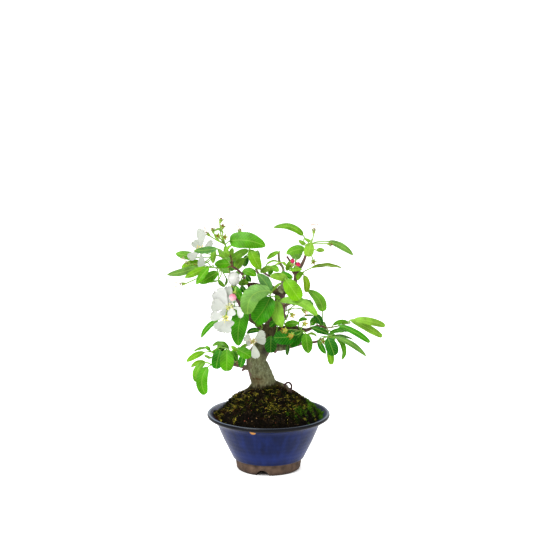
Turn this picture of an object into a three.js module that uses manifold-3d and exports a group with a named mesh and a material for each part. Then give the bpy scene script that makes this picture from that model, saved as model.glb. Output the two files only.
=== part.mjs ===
// A crabapple bonsai. A short thick trunk stands in a mossy mound of soil, in a round glazed pot with
// three low feet. Its branches carry leafy green shoots, white blossom, buds and spent flowers.
// Millimetres, +Z up, front towards -Y.

import * as THREE from "three";
import { mergeVertices } from "three/addons/utils/BufferGeometryUtils.js";
import Module from "manifold-3d";

const wasm = await Module();
wasm.setup();

// ---- Driving dimensions ----

const gap = 0.35; // left between two pieces that touch
const pot = {
  height: 67.6,
  rim: 73,
  neck: 60.8,
  belly: 53.4,
  waist: 42.4,
  foot: 39.6,
  wall: 4.6,
  footHeight: 12.5,
};
const notch = { width: 15, height: 6.5, count: 3, firstTurn: -101 };
const drain = { radius: 6, floorLow: 5, floorHigh: 11 };
const screen = { side: 26, thick: 0.8, holes: 3, hole: 5 };
const leafThick = 0.9;
const petalThick = 0.8;
const petalRoot = 1.5;
const stalkRadius = 0.55;
const stamenLength = 6.6;

// The tree is set out on an elevation sheet, drawn from a little above and from a stated distance.
// A place is u to the right of the pot's axis, v up the sheet, and y, how far back the place lies.
const sheet = {
  tilt: THREE.MathUtils.degToRad(10.5),
  distance: 2000,
  eyeRight: -2.4,
  eyeUp: 240,
  footLine: 2.4,
};

const looks = {
  front: new THREE.Vector3(0, -1, 0.45).normalize(),
  up: new THREE.Vector3(0, -0.5, 1).normalize(),
  left: new THREE.Vector3(-0.8, -0.75, 0.4).normalize(),
  right: new THREE.Vector3(0.8, -0.75, 0.4).normalize(),
  back: new THREE.Vector3(0, 0.9, 0.6).normalize(),
};

// ---- The tree, set out on the sheet ----

// Each limb of the woody tree: u, v, y and radius at each station.
const woodLimbs = {
  trunk: [
    [-5, 70, 2, 13], [-6, 90, 1, 15.4], [-6.5, 103, 0, 14.6], [-8.5, 110, 0, 13.7], [-12, 120, 0, 13],
    [-14.8, 129, 0, 11.9], [-12, 138, 0, 11.6], [-6, 147, 0, 10], [-1, 158, 1, 8.8], [1, 168, 2, 7.6],
    [6, 180, 3, 6.2], [11, 194, 4, 5.2], [13.5, 205, 4, 5.6], [14.5, 212, 4, 6.2], [16, 218, 4, 3.4],
  ],
  crownLeft: [
    [13, 211, 3, 4], [6, 213, 2, 3], [-2, 216.5, 0, 2.4], [-10, 219.5, -2, 2.1], [-17, 221.3, -3, 2],
    [-25, 221.5, -4, 1.9], [-28.5, 226, -5, 1.6], [-31, 232.5, -6, 1.4], [-37.5, 238.8, -8, 1.3],
    [-43, 242.5, -9, 1.4], [-44, 247.5, -10, 1.2],
  ],
  crownLeftSpur: [[-22, 221.3, -4, 1.6], [-24.5, 217.4, -6, 1.1]],
  crownRight: [
    [15, 212, 4, 4.2], [22, 213, 5, 3.2], [29, 216.5, 6, 2.6], [32, 222, 6, 2.3], [32.3, 229, 6, 2.2],
    [33.5, 235, 6, 2.3], [37.5, 240.5, 6, 2.1], [41, 246.5, 6, 2], [44, 254, 6, 1.6], [45.8, 262, 5, 1.1],
  ],
  crownRightTwigA: [[31, 233.5, 6, 1.6], [27.5, 240, 5, 1.3], [26, 248, 4, 1.2], [22, 254.6, 3, 1.15]],
  crownRightTwigB: [[33.5, 236, 6, 1.4], [31.5, 241, 3, 1.1], [33.5, 248, 2, 0.9]],
  crossTwig: [
    [32, 220.5, 6, 1.8], [27, 223.5, 4, 1.5], [21, 226, 2, 1.3], [14, 226.3, -1, 1.2], [7, 228.5, -4, 1.2],
    [0, 231.5, -7, 1.2], [-6, 235.5, -10, 1.3], [-10.5, 240.5, -12, 1.3], [-14.5, 245, -13, 1.2],
  ],
  cutStub: [
    [15, 215, 2, 2.4], [17, 224, -3, 1.9], [18, 233, -5, 1.7], [17.4, 240.6, -6, 1.6], [14, 246, -6, 1.6],
    [12.5, 252, -6, 1.5], [12.3, 259, -6, 1.4],
  ],
  kneeTwig: [[14, 207, 2, 1.6], [18.5, 197, -7, 1.2], [19, 187, -9, 1.1], [21, 178, -9, 1]],
  middleLeft: [
    [-1, 166, -2, 4.5], [-8, 171, -6, 3.4], [-14, 174.5, -9, 2.7], [-22, 178.5, -13, 2.2],
    [-29, 187, -17, 1.8], [-35, 197, -21, 1.5], [-39.5, 206, -24, 1.2],
  ],
  lowLeft: [
    [-15, 117.5, 0, 5], [-24, 120.5, -3, 3], [-31, 122.5, -6, 2.3], [-38, 124, -9, 2.1],
    [-44, 125.5, -12, 1.9], [-52, 131, -14, 1.6], [-60, 136.5, -16, 1.2],
  ],
  lowLeftStub: [[-22, 119.3, -2, 1.9], [-28, 119.6, -3, 1.5], [-32, 117.6, -4, 1.3]],
  lowRight: [
    [-4, 147, 0, 7], [6, 146, -2, 5.6], [14, 145.5, -4, 4.4], [22, 146, -6, 3.2], [31, 148, -8, 2.4],
    [41, 150.2, -10, 1.9], [50, 151.2, -11, 1.6], [57, 152, -12, 1.4], [63, 155, -13, 1.1],
  ],
  lowRightStub: [[8, 144, -3, 2.6], [8, 138.5, -4, 1.6]],
  highRight: [
    [1, 163, 2, 5.5], [12, 165.5, 2, 4.6], [22, 167.5, 3, 4], [31, 168, 4, 3.6], [38, 167, 4, 2.8],
    [45, 166, 4, 2.2], [52, 168.5, 3, 1.8], [59, 171, 2, 1.4], [66, 170.5, 1, 1.1],
  ],
  frontSpur: [[0, 170, -2, 3.2], [-2, 182, -14, 2.2], [0, 195, -22, 1.6], [2, 203, -26, 1.2]],
  backLeft: [
    [-3, 162, 4, 5], [-12, 172, 18, 3.6], [-24, 186, 32, 2.6], [-34, 200, 42, 1.9], [-42, 214, 50, 1.2],
  ],
  backRight: [
    [2, 168, 6, 4.2], [7, 180, 20, 3], [13, 190.5, 32, 2.3], [25, 198, 40, 1.8], [38, 200.5, 46, 1.4],
  ],
  backTop: [[12, 211, 6, 3], [4, 218, 18, 2.2], [-6, 226, 28, 1.7], [-14, 236, 36, 1.2]],
  backLow: [[-6, 140, 4, 4.5], [4, 146, 18, 3], [14, 152, 32, 2.1], [22, 160, 44, 1.3]],
  rootRight: [[0, 104, -2, 8], [9, 101, -4, 4.2], [18, 98.5, -6, 3], [27, 90, -8, 1.8]],
  rootLeft: [[-14, 100, 0, 7], [-24, 93.5, -4, 3], [-33, 85, -8, 1.8]],
  rootBack: [[-4, 104, 8, 7], [0, 101, 20, 3.6], [4, 97, 32, 1.8]],
  rootLoop: [
    [18.5, 98, -6, 1.5], [21, 102.2, -5, 1.2], [24.5, 103.2, -5, 1.2], [27.6, 99.5, -6, 1.2],
    [26.5, 91, -7, 1.2],
  ],
};

// Leafy shoots. Stems: u, v, y, radius at each station. Leaves: base u, v, tip u, v, depth at base and tip,
// width as it is seen on the sheet, sideways bow to the left of its run, where its upper side looks, and
// its shape where that is not oval: broad near the stalk, or blunt at both ends.
// Heads are flower cups: u, v, y, the way they point as x, y, z, and what they carry.
const shoots = {
  shoot_far_left: {
    stems: [[[-43, 243, -9, 1.1], [-50, 241.6, -12, 0.9], [-58, 241, -16, 0.85], [-66, 241, -20, 0.75],
      [-72, 241.5, -22, 0.6]]],
    leaves: [
      [-83, 243, -121.8, 232.6, -22, -26, 9, 1.6, "front"],
      [-83, 249, -104.5, 241.5, -10, -6, 9, 0, "front"],
      [-74.5, 241.5, -100.5, 229, -30, -36, 8.5, 0, "front"],
      [-71.5, 241, -86.5, 220.8, -38, -44, 8.5, -1, "front"],
      [-61, 236, -83, 222.4, -26, -32, 12, 0.4, "front"],
      [-60.5, 225.5, -71, 223.2, -14, -18, 2.4, 0, "up"],
      [-60, 226.5, -52, 218.2, -12, -14, 5, -1, "front"],
      [-51, 229, -53, 219, -6, -8, 3, 1.5, "right"],
    ],
    heads: [[-104, 221.5, -18, -1, -0.1, -0.05, "spent"]],
  },
  shoot_upper_left: {
    stems: [[[-43.6, 245.8, -9.6, 1.1], [-51, 250, -14, 0.9], [-58, 254.5, -17, 0.8], [-66, 257, -18, 0.7]]],
    leaves: [
      [-86, 253.5, -111.5, 258, -12, -8, 10.5, 0, "front"],
      [-62, 264, -89.8, 261, -44, -50, 8.2, 0.6, "front"],
      [-65, 263.5, -66.5, 246, -34, -38, 7, -0.5, "front"],
      [-47.5, 246, -64.8, 245, -26, -30, 11, 0, "front"],
      [-52, 253, -61, 264, -22, -24, 6, 0, "front"],
      [-51, 262, -45.5, 268, -24, -26, 3.5, 0, "front"],
    ],
    heads: [
      [-97.5, 247, -14, -0.8, -0.3, 0.5, "spent"],
      [-87, 243.5, -20, -0.5, -0.7, 0.3, "bare"],
      [-81, 261.5, -24, -0.35, -0.75, 0.5, "open"],
    ],
  },
  shoot_top_left: {
    stems: [[[-43.8, 248, -10, 1.1], [-46, 256, -6, 0.95], [-50, 264, -8, 0.85], [-52.5, 270, -9, 0.75]]],
    leaves: [
      [-46.5, 273, -3.6, 266.6, -18, -26, 20, 3.5, "front", "broad"],
      [-49, 254, -52.5, 267, -16, -18, 6.5, 0, "front"],
      [-46, 253, -43, 265, -2, 0, 6, 0, "front"],
      [-66, 284.5, -54, 282, -8, -8, 3, 3.5, "up"],
    ],
    heads: [
      [-73.5, 282, -14, -0.7, -0.2, 0.7, "spent"],
      [-67, 286.5, -6, -0.2, -0.3, 0.9, "bare"],
      [-57, 298.5, -10, 0.3, -0.3, 0.9, "bare"],
      [-55, 290.5, -18, 0.2, -0.6, 0.8, "bare"],
      [-60.5, 279, -22, -0.1, -1, 0.2, "bare"],
      [-52.5, 277.5, -26, 0.2, -1, 0.1, "bare"],
      [-34.5, 285.5, -12, 0.1, -0.2, 1, "spent"],
    ],
  },
  shoot_top_middle: {
    stems: [[[-14, 244.5, -13, 1], [-17, 251, -14, 0.85], [-20, 257, -15, 0.75], [-23, 262.5, -15, 0.65]]],
    leaves: [
      [-24, 262, -45.5, 250, -4, 4, 9.5, -1, "front"],
      [-22, 262.5, -9.5, 238.5, -24, -30, 13, -0.5, "front"],
      [-26, 256, -29, 242, 14, 18, 8, 0, "front"],
      [-29, 252, -40.5, 238, 4, 8, 10, -1, "front"],
    ],
    heads: [],
  },
  shoot_inner_left: {
    stems: [[[-30.5, 231, -6, 0.95], [-28, 233.5, -13, 0.8], [-27, 235, -18, 0.7]]],
    leaves: [
      [-30, 238, -14.5, 231, -22, -26, 9, 1, "front"],
      [-27, 232, -21, 224, -14, -16, 6, 0, "front"],
      [-24, 225, -36.5, 221.5, -12, -14, 8, 0, "front"],
      [-33, 219, -27.5, 210.5, -14, -16, 6.5, 0, "front"],
    ],
    heads: [],
  },
  shoot_blossom_left: {
    stems: [[[-39, 204.5, -24, 0.95], [-41, 210, -25, 0.85], [-42, 214, -25, 0.7]]],
    leaves: [
      [-41, 218.5, -33, 201, -18, -24, 9, 1, "front"],
      [-47, 217.5, -41.5, 211.5, -32, -34, 5, 0, "front"],
      [-39, 187.5, -35, 179.5, -32, -32, 3.5, 0, "front"],
    ],
    heads: [
      [-41, 220.5, -18, -0.1, -0.25, 1, "cup"],
      [-41.5, 209, -52, -0.35, -0.3, -0.85, "bud"],
      [-47, 193, -42, 0.1, -0.95, 0.1, "open"],
      [-51.5, 180.5, -54, 0.15, -0.95, 0.15, "open"],
    ],
  },
  shoot_middle_left: {
    stems: [[[-27, 184, -16, 0.95], [-27.5, 188, -22, 0.85], [-28.5, 191.5, -26, 0.7]]],
    leaves: [
      [-29.5, 192, -35.8, 147.2, -30, -38, 21, -3, "front", "broad"],
    ],
    heads: [],
  },
  shoot_behind_blossom: {
    stems: [[[-33.8, 195, -20, 0.95], [-42, 190, -17, 0.8], [-50, 184.5, -18, 0.7]]],
    leaves: [
      [-60, 178.5, -80.8, 156.8, -24, -28, 6.8, -2.8, "front"],
      [-46, 192, -52, 203, -14, -12, 10, 0, "front"],
    ],
    heads: [],
  },
  shoot_front: {
    stems: [[[1.5, 201, -25, 1], [2, 206, -30, 0.85], [2, 211, -34, 0.7]]],
    leaves: [
      [2, 213, -25, 185, -42, -56, 21, -11, "front", "blunt"],
      [2, 206, -17, 175.8, -34, -42, 23.5, 1.5, "front", "blunt"],
      [2, 211.5, -13.5, 233.5, -36, -38, 13, -2, "front"],
      [7, 207, 14.5, 203, -26, -26, 5, 0, "front"],
      [-2, 208.5, -8.5, 205.5, -30, -32, 5, 0, "front"],
      [5, 213, 16, 223, -26, -24, 3.5, 1, "front"],
    ],
    heads: [],
  },
  shoot_knee: {
    stems: [[[18.5, 196.5, -7, 0.95], [15.5, 199.5, -16, 0.8], [13, 201, -26, 0.7]]],
    leaves: [
      [14, 200.8, 58, 183.5, -38, -50, 10.5, 7.6, "front", "blunt"],
      [9.5, 201, 17, 169.5, -46, -54, 16, -2.5, "front", "broad"],
    ],
    heads: [],
  },
  shoot_knee_low: {
    stems: [[[20.8, 179, -9, 0.95], [23, 184, -12, 0.8], [24.5, 190, -14, 0.65]]],
    leaves: [
      [19.5, 172.5, 37, 174.5, -20, -24, 8, 0.5, "front"],
    ],
    heads: [
      [28.5, 184, -22, 0.3, -0.9, -0.2, "spent"],
      [43, 189, -16, 0.6, -0.6, -0.4, "spent"],
    ],
  },
  shoot_lime: {
    stems: [[[22, 225.7, 1.5, 0.95], [23, 226.5, -8, 0.8], [23, 227, -18, 0.65]]],
    leaves: [
      [23, 227, 1.5, 230.5, -24, -28, 9.5, -1.5, "front"],
      [29, 229.5, 15.5, 236.5, -12, -10, 6.5, 1, "front"],
      [20.5, 226.5, 37.5, 202.5, -28, -34, 18.5, 0, "front", "blunt"],
    ],
    heads: [],
  },
  shoot_stub: {
    stems: [[[15, 245.5, -6, 0.95], [11, 245, -12, 0.8], [6, 243.5, -17, 0.7], [3, 242.8, -20, 0.6]]],
    leaves: [
      [13.5, 247.5, -3.5, 243, -12, -14, 2.6, -3.5, "up"],
      [5, 241.5, -10, 235, -22, -24, 7.5, -1, "front"],
      [3.5, 242, 12, 236, -26, -26, 8, 1, "front"],
      [4.5, 240.5, 0.5, 232, -16, -18, 6, 0, "front"],
      [16, 247.5, 20.5, 243, -12, -12, 3.6, 1, "front"],
    ],
    heads: [],
  },
  shoot_stub_top: {
    stems: [[[12.4, 257, -6, 0.95], [13, 259, -9, 0.8], [13.5, 260.5, -12, 0.65]]],
    leaves: [
      [12.5, 260, -2, 251, -12, -12, 5.5, -1, "front"],
    ],
    heads: [],
  },
  shoot_top_right: {
    stems: [[[45.5, 261, 5, 0.95], [48, 266, 2, 0.85], [51.5, 270.5, 0, 0.7]]],
    leaves: [
      [41.2, 280, 6, 289, -4, -8, 8.2, -5.6, "front", "broad"],
      [43.5, 268, 36, 274.2, 2, 2, 4.5, 0, "front"],
      [43.5, 263.5, 21.4, 257.5, -14, -18, 11, -1.6, "front"],
      [50.5, 271, 47, 254.2, -22, -24, 13.5, 0, "front", "blunt"],
      [72, 272.6, 101.6, 256, -4, -8, 8, 2.2, "front"],
      [57.5, 262, 67.4, 261.5, -10, -12, 5.4, 0.4, "front"],
      [43, 275.8, 52, 271.8, -12, -12, 3.5, 0, "front"],
    ],
    heads: [
      [54.5, 286, 2, 0.05, -0.2, 1, "spent"],
      [74.5, 269, -12, 0.9, -0.5, -0.1, "bare"],
      [54, 248, -16, 0.1, -1, -0.3, "bare"],
    ],
  },
  shoot_buds: {
    stems: [[[27.5, 239.5, 5, 0.95], [26.5, 240, -2, 0.8], [27, 241, -7, 0.7]]],
    leaves: [
      [21.5, 237.5, 26, 249.5, -4, -6, 5.5, 0, "front"],
      [26, 237.5, 40.5, 238.5, -14, -16, 5, 1, "front"],
    ],
    heads: [
      [28.8, 246.6, -10, 0, -0.2, 1, "bud"],
      [34.6, 243.6, -12, 0.45, -0.3, 0.7, "bud"],
    ],
  },
  shoot_olive: {
    stems: [[[33.8, 233.5, 6, 0.95], [38, 234.5, 1, 0.8], [42, 235, -3, 0.65]]],
    leaves: [
      [41.5, 235, 35.2, 225.5, -8, -10, 6.5, -2, "front"],
      [42.5, 231.5, 45, 211.5, -10, -14, 8, 2.2, "front", "blunt"],
      [51, 240.5, 88, 240.5, -2, 2, 4.6, 3.5, "up"],
    ],
    heads: [],
  },
  shoot_long_stalk: {
    stems: [[[62.4, 171, 1.4, 0.9], [65, 175, 0, 0.75], [64.5, 180, -1, 0.65]]],
    leaves: [
      [65, 188.6, 46.8, 213.6, -4, -8, 13, -4.6, "front", "broad"],
    ],
    heads: [],
  },
  shoot_right_tip: {
    stems: [[[65.8, 170.4, 1, 1], [70, 168.8, -2, 0.9], [76, 169.5, -4, 0.85], [83, 170.8, -6, 0.8],
      [91, 173.2, -8, 0.75], [98, 174.5, -10, 0.65]]],
    leaves: [
      [98.5, 178.5, 136.5, 158, -14, -20, 9, 1, "front", "blunt"],
      [103, 179, 140, 171, -26, -30, 9, 1.6, "front", "blunt"],
      [84.5, 172, 121.5, 151.2, -18, -26, 7.6, 2, "front", "blunt"],
      [77.5, 172, 96.5, 174, 2, 4, 5.6, 3, "front", "blunt"],
    ],
    heads: [],
  },
  shoot_right_low: {
    stems: [[[62.3, 154.5, -13, 1], [68, 157.5, -15, 0.85], [74, 158.5, -17, 0.75], [80, 158.5, -19, 0.65]]],
    leaves: [
      [73, 161.5, 101, 163.5, -10, -8, 5.2, 3.8, "up"],
      [73.5, 158.5, 102, 154.5, -14, -16, 3.2, 2.5, "up"],
      [80, 158, 117.4, 134.4, -24, -32, 7, 3, "front"],
      [82, 155.5, 87.7, 130.2, -20, -26, 6, 5.5, "right"],
      [71, 156.5, 79, 135.5, -34, -40, 15, 0.5, "front", "blunt"],
      [73, 147, 75.5, 124.6, -24, -28, 8.4, 0, "front", "blunt"],
      [60, 154, 69, 137.6, -26, -32, 7, -1, "front"],
    ],
    heads: [[65.5, 152.5, -28, 0.2, -1, -0.1, "bare"]],
  },
  shoot_flower_hub: {
    stems: [[[38, 166.5, 4, 0.95], [39, 165.5, -6, 0.85], [39.5, 165, -14, 0.75]]],
    leaves: [
      [44.5, 162, 48, 138.2, -22, -26, 13.5, 0, "front"],
      [36.5, 176.5, 46.8, 178.5, -6, -6, 4.5, 2, "front"],
      [46.5, 160.5, 58, 158, -16, -16, 3, 2.5, "up"],
      [35, 160.5, 6.5, 157, -24, -30, 18, 1, "front", "blunt"],
      [41, 163, 25, 147.5, -16, -20, 14, 0, "front", "blunt"],
    ],
    heads: [
      [43.5, 173.5, -22, 0.4, -0.8, 0.4, "spent"],
      [27.5, 160.5, -34, -0.2, -1, -0.1, "spent"],
      [20, 166, -34, -0.3, -1, 0.1, "spent"],
    ],
  },
  shoot_right_dark: {
    stems: [[[58.8, 171, 2, 0.95], [57.5, 176, 0, 0.8], [55.5, 183, -3, 0.65]]],
    leaves: [
      [55, 184.5, 63.5, 171.5, -8, -10, 9, 1.5, "front"],
      [56, 182, 51.5, 171.5, -2, 0, 8, 0, "front"],
      [54, 183.2, 41.3, 182.4, 2, 2, 2.4, -1, "up"],
      [51, 169.5, 73, 160.8, -12, -14, 7.4, 0.6, "front"],
    ],
    heads: [],
  },
  shoot_low_right: {
    stems: [[[10, 146, -4, 1], [9, 151, -12, 0.85], [6, 156, -18, 0.7]]],
    leaves: [
      [3, 159, 2.5, 138.8, -20, -26, 15.5, 0, "front", "blunt"],
      [22.5, 149, 22.5, 135.3, -14, -16, 5.2, 0, "right"],
      [9, 178, 1.5, 170, -12, -14, 7, 0, "front"],
    ],
    heads: [],
  },
  shoot_low_blossom: {
    stems: [[[-8, 170, -6, 1], [-8.5, 167, -14, 0.85], [-11.5, 165, -22, 0.7]]],
    leaves: [
      [-11, 165.5, -26, 162, -26, -28, 6.5, -2, "front"],
      [-9, 173, -16.5, 170.8, -14, -16, 4, 0, "front"],
    ],
    heads: [[-18.8, 152.4, -42, -0.1, -0.95, 0.25, "open"]],
  },
  shoot_low_left: {
    stems: [[[-59.5, 136.3, -16, 1], [-66, 139, -18, 0.85], [-71, 140.5, -20, 0.7]]],
    leaves: [
      [-77, 139.5, -98.4, 128, -20, -26, 7.6, -1.4, "front"],
      [-74, 144.5, -90, 140.3, -12, -8, 3, -1.5, "up"],
      [-70, 142, -75.5, 147, -18, -18, 4.5, 0, "front"],
      [-68, 133, -77, 136.2, -26, -28, 3.2, 1, "up"],
      [-47.5, 143.5, -67.5, 147, -12, -16, 5.5, -4.6, "up"],
      [-52, 145.5, -66, 140, -6, -8, 7, 0, "front"],
      [-58, 142, -63, 119.5, -22, -28, 14, -0.5, "front", "blunt"],
      [-50, 143, -50, 116.8, -30, -36, 17, 0, "front", "blunt"],
    ],
    heads: [],
  },
  shoot_low_left_hanging: {
    stems: [[[-52, 130.5, -14, 1], [-58, 127.5, -20, 0.85], [-64, 124.5, -26, 0.75], [-69, 124, -30, 0.65]]],
    leaves: [
      [-76, 127.5, -86.5, 104, -30, -34, 9, -4.6, "front", "blunt"],
      [-73, 121.5, -75.5, 89, -40, -46, 14, -5.5, "front", "blunt"],
      [-75.5, 127.3, -93, 121.5, -22, -26, 6, -2.5, "front"],
    ],
    heads: [],
  },
  shoot_low_left_front: {
    stems: [[[-38, 124.3, -9, 1], [-37.5, 131, -16, 0.85], [-36.5, 138, -22, 0.75], [-36, 145, -26, 0.6]]],
    leaves: [
      [-37.5, 142.5, -21.5, 133.5, -36, -42, 13.5, 1, "front", "blunt"],
      [-34.5, 144, -18.5, 150.5, -34, -34, 4, 1, "front"],
      [-30, 137, -34, 121.5, -26, -28, 9, 0, "front"],
      [-44, 141.5, -37.5, 129, -18, -20, 8, 0, "front"],
      [-37, 141, -45, 147, -22, -22, 5, 0, "front"],
    ],
    heads: [],
  },
  shoot_back_left: {
    stems: [[[-41.5, 213, 50, 0.95], [-44, 222, 54, 0.85], [-46, 232, 56, 0.75], [-48, 240, 58, 0.65]]],
    leaves: [
      [-46, 236, -62, 243, 60, 66, 12, 0, "back"],
      [-45, 228, -34, 236, 58, 62, 12, 0, "back"],
      [-48, 240, -52, 258, 60, 66, 12, 0, "back"],
      [-47, 238, -36, 254, 62, 70, 12, 0, "back"],
      [-43, 220, -38, 206, 54, 58, 12, 0, "back"],
    ],
    heads: [[-46, 197, 66, -0.2, 0.9, 0.35, "open"]],
  },
  shoot_back_middle: {
    stems: [[[-24, 187, 33, 0.95], [-26, 186, 38, 0.85], [-28, 185, 43, 0.7]]],
    leaves: [
      [-30, 186, -38, 166, 46, 52, 13, 0, "back"],
      [-24, 187, -10, 198, 44, 50, 13, 0, "back"],
      [-27, 188, -24, 206, 44, 52, 12, 0, "back"],
    ],
    heads: [],
  },
  shoot_back_top: {
    stems: [[[-13.5, 235.5, 36, 0.95], [-15, 241, 40, 0.85], [-15, 247, 43, 0.7]]],
    leaves: [
      [-15, 248, -13, 262, 46, 52, 9, 0, "back"],
      [-16, 238, -32, 234, 42, 50, 10, 0, "back"],
      [-10, 232, 3, 218, 38, 42, 11, 0, "back"],
    ],
    heads: [],
  },
  shoot_back_right: {
    stems: [[[37.6, 200.4, 46, 0.95], [39, 202, 50, 0.85], [38.5, 204.5, 54, 0.7]]],
    leaves: [
      [37.5, 206, 28, 219, 56, 62, 12, 0, "back"],
      [41, 202, 54, 194.5, 53, 58, 9, 0, "back"],
      [38, 200, 21, 199, 50, 56, 8, 0, "back"],
      [36, 207, 20, 212, 50, 54, 10, 0, "back"],
    ],
    heads: [[10, 188, 52, 0.1, 0.9, 0.35, "open"]],
  },
  shoot_back_low: {
    stems: [[[21.5, 159.5, 44, 0.95], [23, 161, 49, 0.85], [24, 162, 53, 0.7]]],
    leaves: [
      [22, 160, 7, 156, 52, 58, 12, 0, "back"],
      [25, 162, 40, 156, 54, 60, 12, 0, "back"],
      [24, 163, 30, 176, 52, 58, 11, 0, "back"],
    ],
    heads: [],
  },
  shoot_back_high_right: {
    stems: [[[33, 237.5, 6, 1], [33, 241, 18, 0.85], [32, 246, 30, 0.7]]],
    leaves: [
      [32, 252, 26.5, 265, 34, 40, 8.5, 0, "back"],
      [33.5, 251, 40, 265, 32, 38, 8.5, 0, "back"],
      [32, 243, 37, 232, 28, 32, 8, 0, "back"],
    ],
    heads: [],
  },
  shoot_back_far_right: {
    stems: [[[52, 168.5, 3, 1], [60, 168, 18, 0.9], [70, 166, 30, 0.8], [78, 164, 38, 0.65]]],
    leaves: [
      [70, 168, 60, 177, 34, 40, 9, 0, "back"],
      [80, 165, 96, 168, 40, 46, 8, 0, "back"],
      [76, 163, 74, 147, 38, 44, 11, 0, "back"],
      [72, 165, 58, 163, 34, 42, 7, 0, "back"],
    ],
    heads: [],
  },
  shoot_back_low_left: {
    stems: [[[-30, 123, -5, 1], [-38, 127.5, 10, 0.9], [-46, 131, 22, 0.8], [-54, 134, 30, 0.65]]],
    leaves: [
      [-55, 134, -64, 124, 34, 42, 11, 0, "back"],
      [-50, 133, -49, 120, 32, 40, 11, 0, "back"],
      [-55, 137, -60, 150, 34, 40, 9, 0, "back"],
      [-42, 130, -33, 124, 24, 30, 8, 0, "back"],
    ],
    heads: [],
  },
};

// Open blossoms: the centre is a head of the shoot named, and each petal is given by its tip u, v, y,
// its width as seen and its sideways bow.
const blossoms = {
  blossom_top_left: {
    shoot: "shoot_upper_left",
    head: 2,
    petals: [[-95.5, 251.5, -26, 10, 0], [-80, 241.5, -32, 9, 0], [-66.5, 271.5, -26, 8, 0],
      [-80.5, 288, -22, 11, 0], [-90, 273, -16, 10, 0]],
  },
  blossom_cup: { shoot: "shoot_blossom_left", head: 0, petals: [] },
  blossom_upper: {
    shoot: "shoot_blossom_left",
    head: 2,
    petals: [[-63.5, 214, -40, 18, 0], [-69, 197, -44, 16, 0], [-34.5, 180.5, -44, 7.5, 6.5],
      [-43.5, 208, -36, 8, 0], [-49, 219, -34, 10, 0]],
  },
  blossom_lower: {
    shoot: "shoot_blossom_left",
    head: 3,
    petals: [[-70, 184, -56, 12, 0], [-62.5, 166, -60, 13, 0], [-51.5, 162, -60, 13, 0],
      [-43.5, 171, -56, 9, 0], [-41, 190, -50, 9, 0]],
  },
  blossom_low_centre: {
    shoot: "shoot_low_blossom",
    head: 0,
    petals: [[-28.5, 158.5, -44, 10.5, 0], [-4.5, 163.5, -42, 10, 0], [-3, 154, -44, 10, 0],
      [-14.5, 132, -48, 10, 0], [-26.5, 149, -38, 7.5, 0]],
  },
  blossom_back_left: {
    shoot: "shoot_back_left",
    head: 0,
    petals: [[-62, 200, 70, 13, 0], [-50, 213, 64, 13, 0], [-34, 206, 66, 13, 0], [-35, 188, 74, 13, 0],
      [-54, 183, 76, 13, 0]],
  },
  blossom_back_right: {
    shoot: "shoot_back_right",
    head: 0,
    petals: [[-4, 192, 56, 12, 0], [7, 202, 50, 12, 0], [22, 196, 52, 12, 0], [20, 179, 60, 12, 0],
      [3, 175, 62, 12, 0]],
  },
};

// The half-open blossom's five petals stand up and lap round each other as one bowl. Each row is a distance
// from the blossom's centre and the bowl's outer radius there.
const bowl = {
  rows: [[-0.7, 1.8], [0.7, 3.7], [3.4, 5.8], [7.5, 7.1], [11.6, 6.9], [14.6, 5.1], [16, 3.2]],
  wall: 0.95,
  floor: 0.5,
  seamIn: 0.1,
  seamDrop: 2.4,
};

// Closed buds, on heads of the shoots named: radius, length and colour.
const buds = {
  bud_pink: { shoot: "shoot_blossom_left", head: 1, radius: 4.2, length: 8.8, colour: 0xf3bccb },
  bud_crimson_a: { shoot: "shoot_buds", head: 0, radius: 2.5, length: 6.8, colour: 0xc81e48 },
  bud_crimson_b: { shoot: "shoot_buds", head: 1, radius: 2.7, length: 5.8, colour: 0xc81e48 },
};

// ---- Places and clearance ----

const sheetUp = new THREE.Vector3(0, Math.sin(sheet.tilt), Math.cos(sheet.tilt));
const sheetOut = new THREE.Vector3(0, -Math.cos(sheet.tilt), Math.sin(sheet.tilt));
const eye = new THREE.Vector3(sheet.eyeRight, 0, 0)
  .addScaledVector(sheetUp, sheet.eyeUp)
  .addScaledVector(sheetOut, sheet.distance);

// The point at depth y that is seen at u, v on the sheet.
function at(u, v, y) {
  const drawn = new THREE.Vector3(u, 0, 0).addScaledVector(sheetUp, v - sheet.footLine);
  return eye.clone().lerp(drawn, (y - eye.y) / (drawn.y - eye.y));
}

// The stations of a limb as places in space with their radii.
const stationsOf = (rows) => rows.map(([u, v, y, radius]) => ({ place: at(u, v, y), radius }));

// A smooth line through the stations, with the radius at each step.
function lineOf(stations, stepsPerSpan) {
  const curve = new THREE.CatmullRomCurve3(stations.map((s) => s.place), false, "catmullrom", 0.5);
  const steps = (stations.length - 1) * stepsPerSpan;
  return Array.from({ length: steps + 1 }, (_, i) => {
    const span = Math.min(Math.floor(i / stepsPerSpan), stations.length - 2);
    const share = i / stepsPerSpan - span;
    const radius = THREE.MathUtils.lerp(stations[span].radius, stations[span + 1].radius, share);
    return { place: curve.getPoint(i / steps), radius };
  });
}

// The rib of a blade: it starts at base, ends at tip and bows sideways on the sheet and out over its face.
function ribOf(base, tip, bow, face, rise) {
  const run = tip.clone().sub(base);
  const across = new THREE.Vector3().crossVectors(sheetOut, run).normalize();
  const out = face.clone().addScaledVector(run, -face.dot(run) / run.lengthSq()).normalize();
  const lift = rise * run.length();
  const middle = base.clone().lerp(tip, 0.5).addScaledVector(out, lift);
  middle.addScaledVector(across, bow - lift * out.dot(across));
  const pull = middle.multiplyScalar(2).addScaledVector(base, -0.5).addScaledVector(tip, -0.5);
  return new THREE.QuadraticBezierCurve3(base, pull, tip);
}

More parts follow.
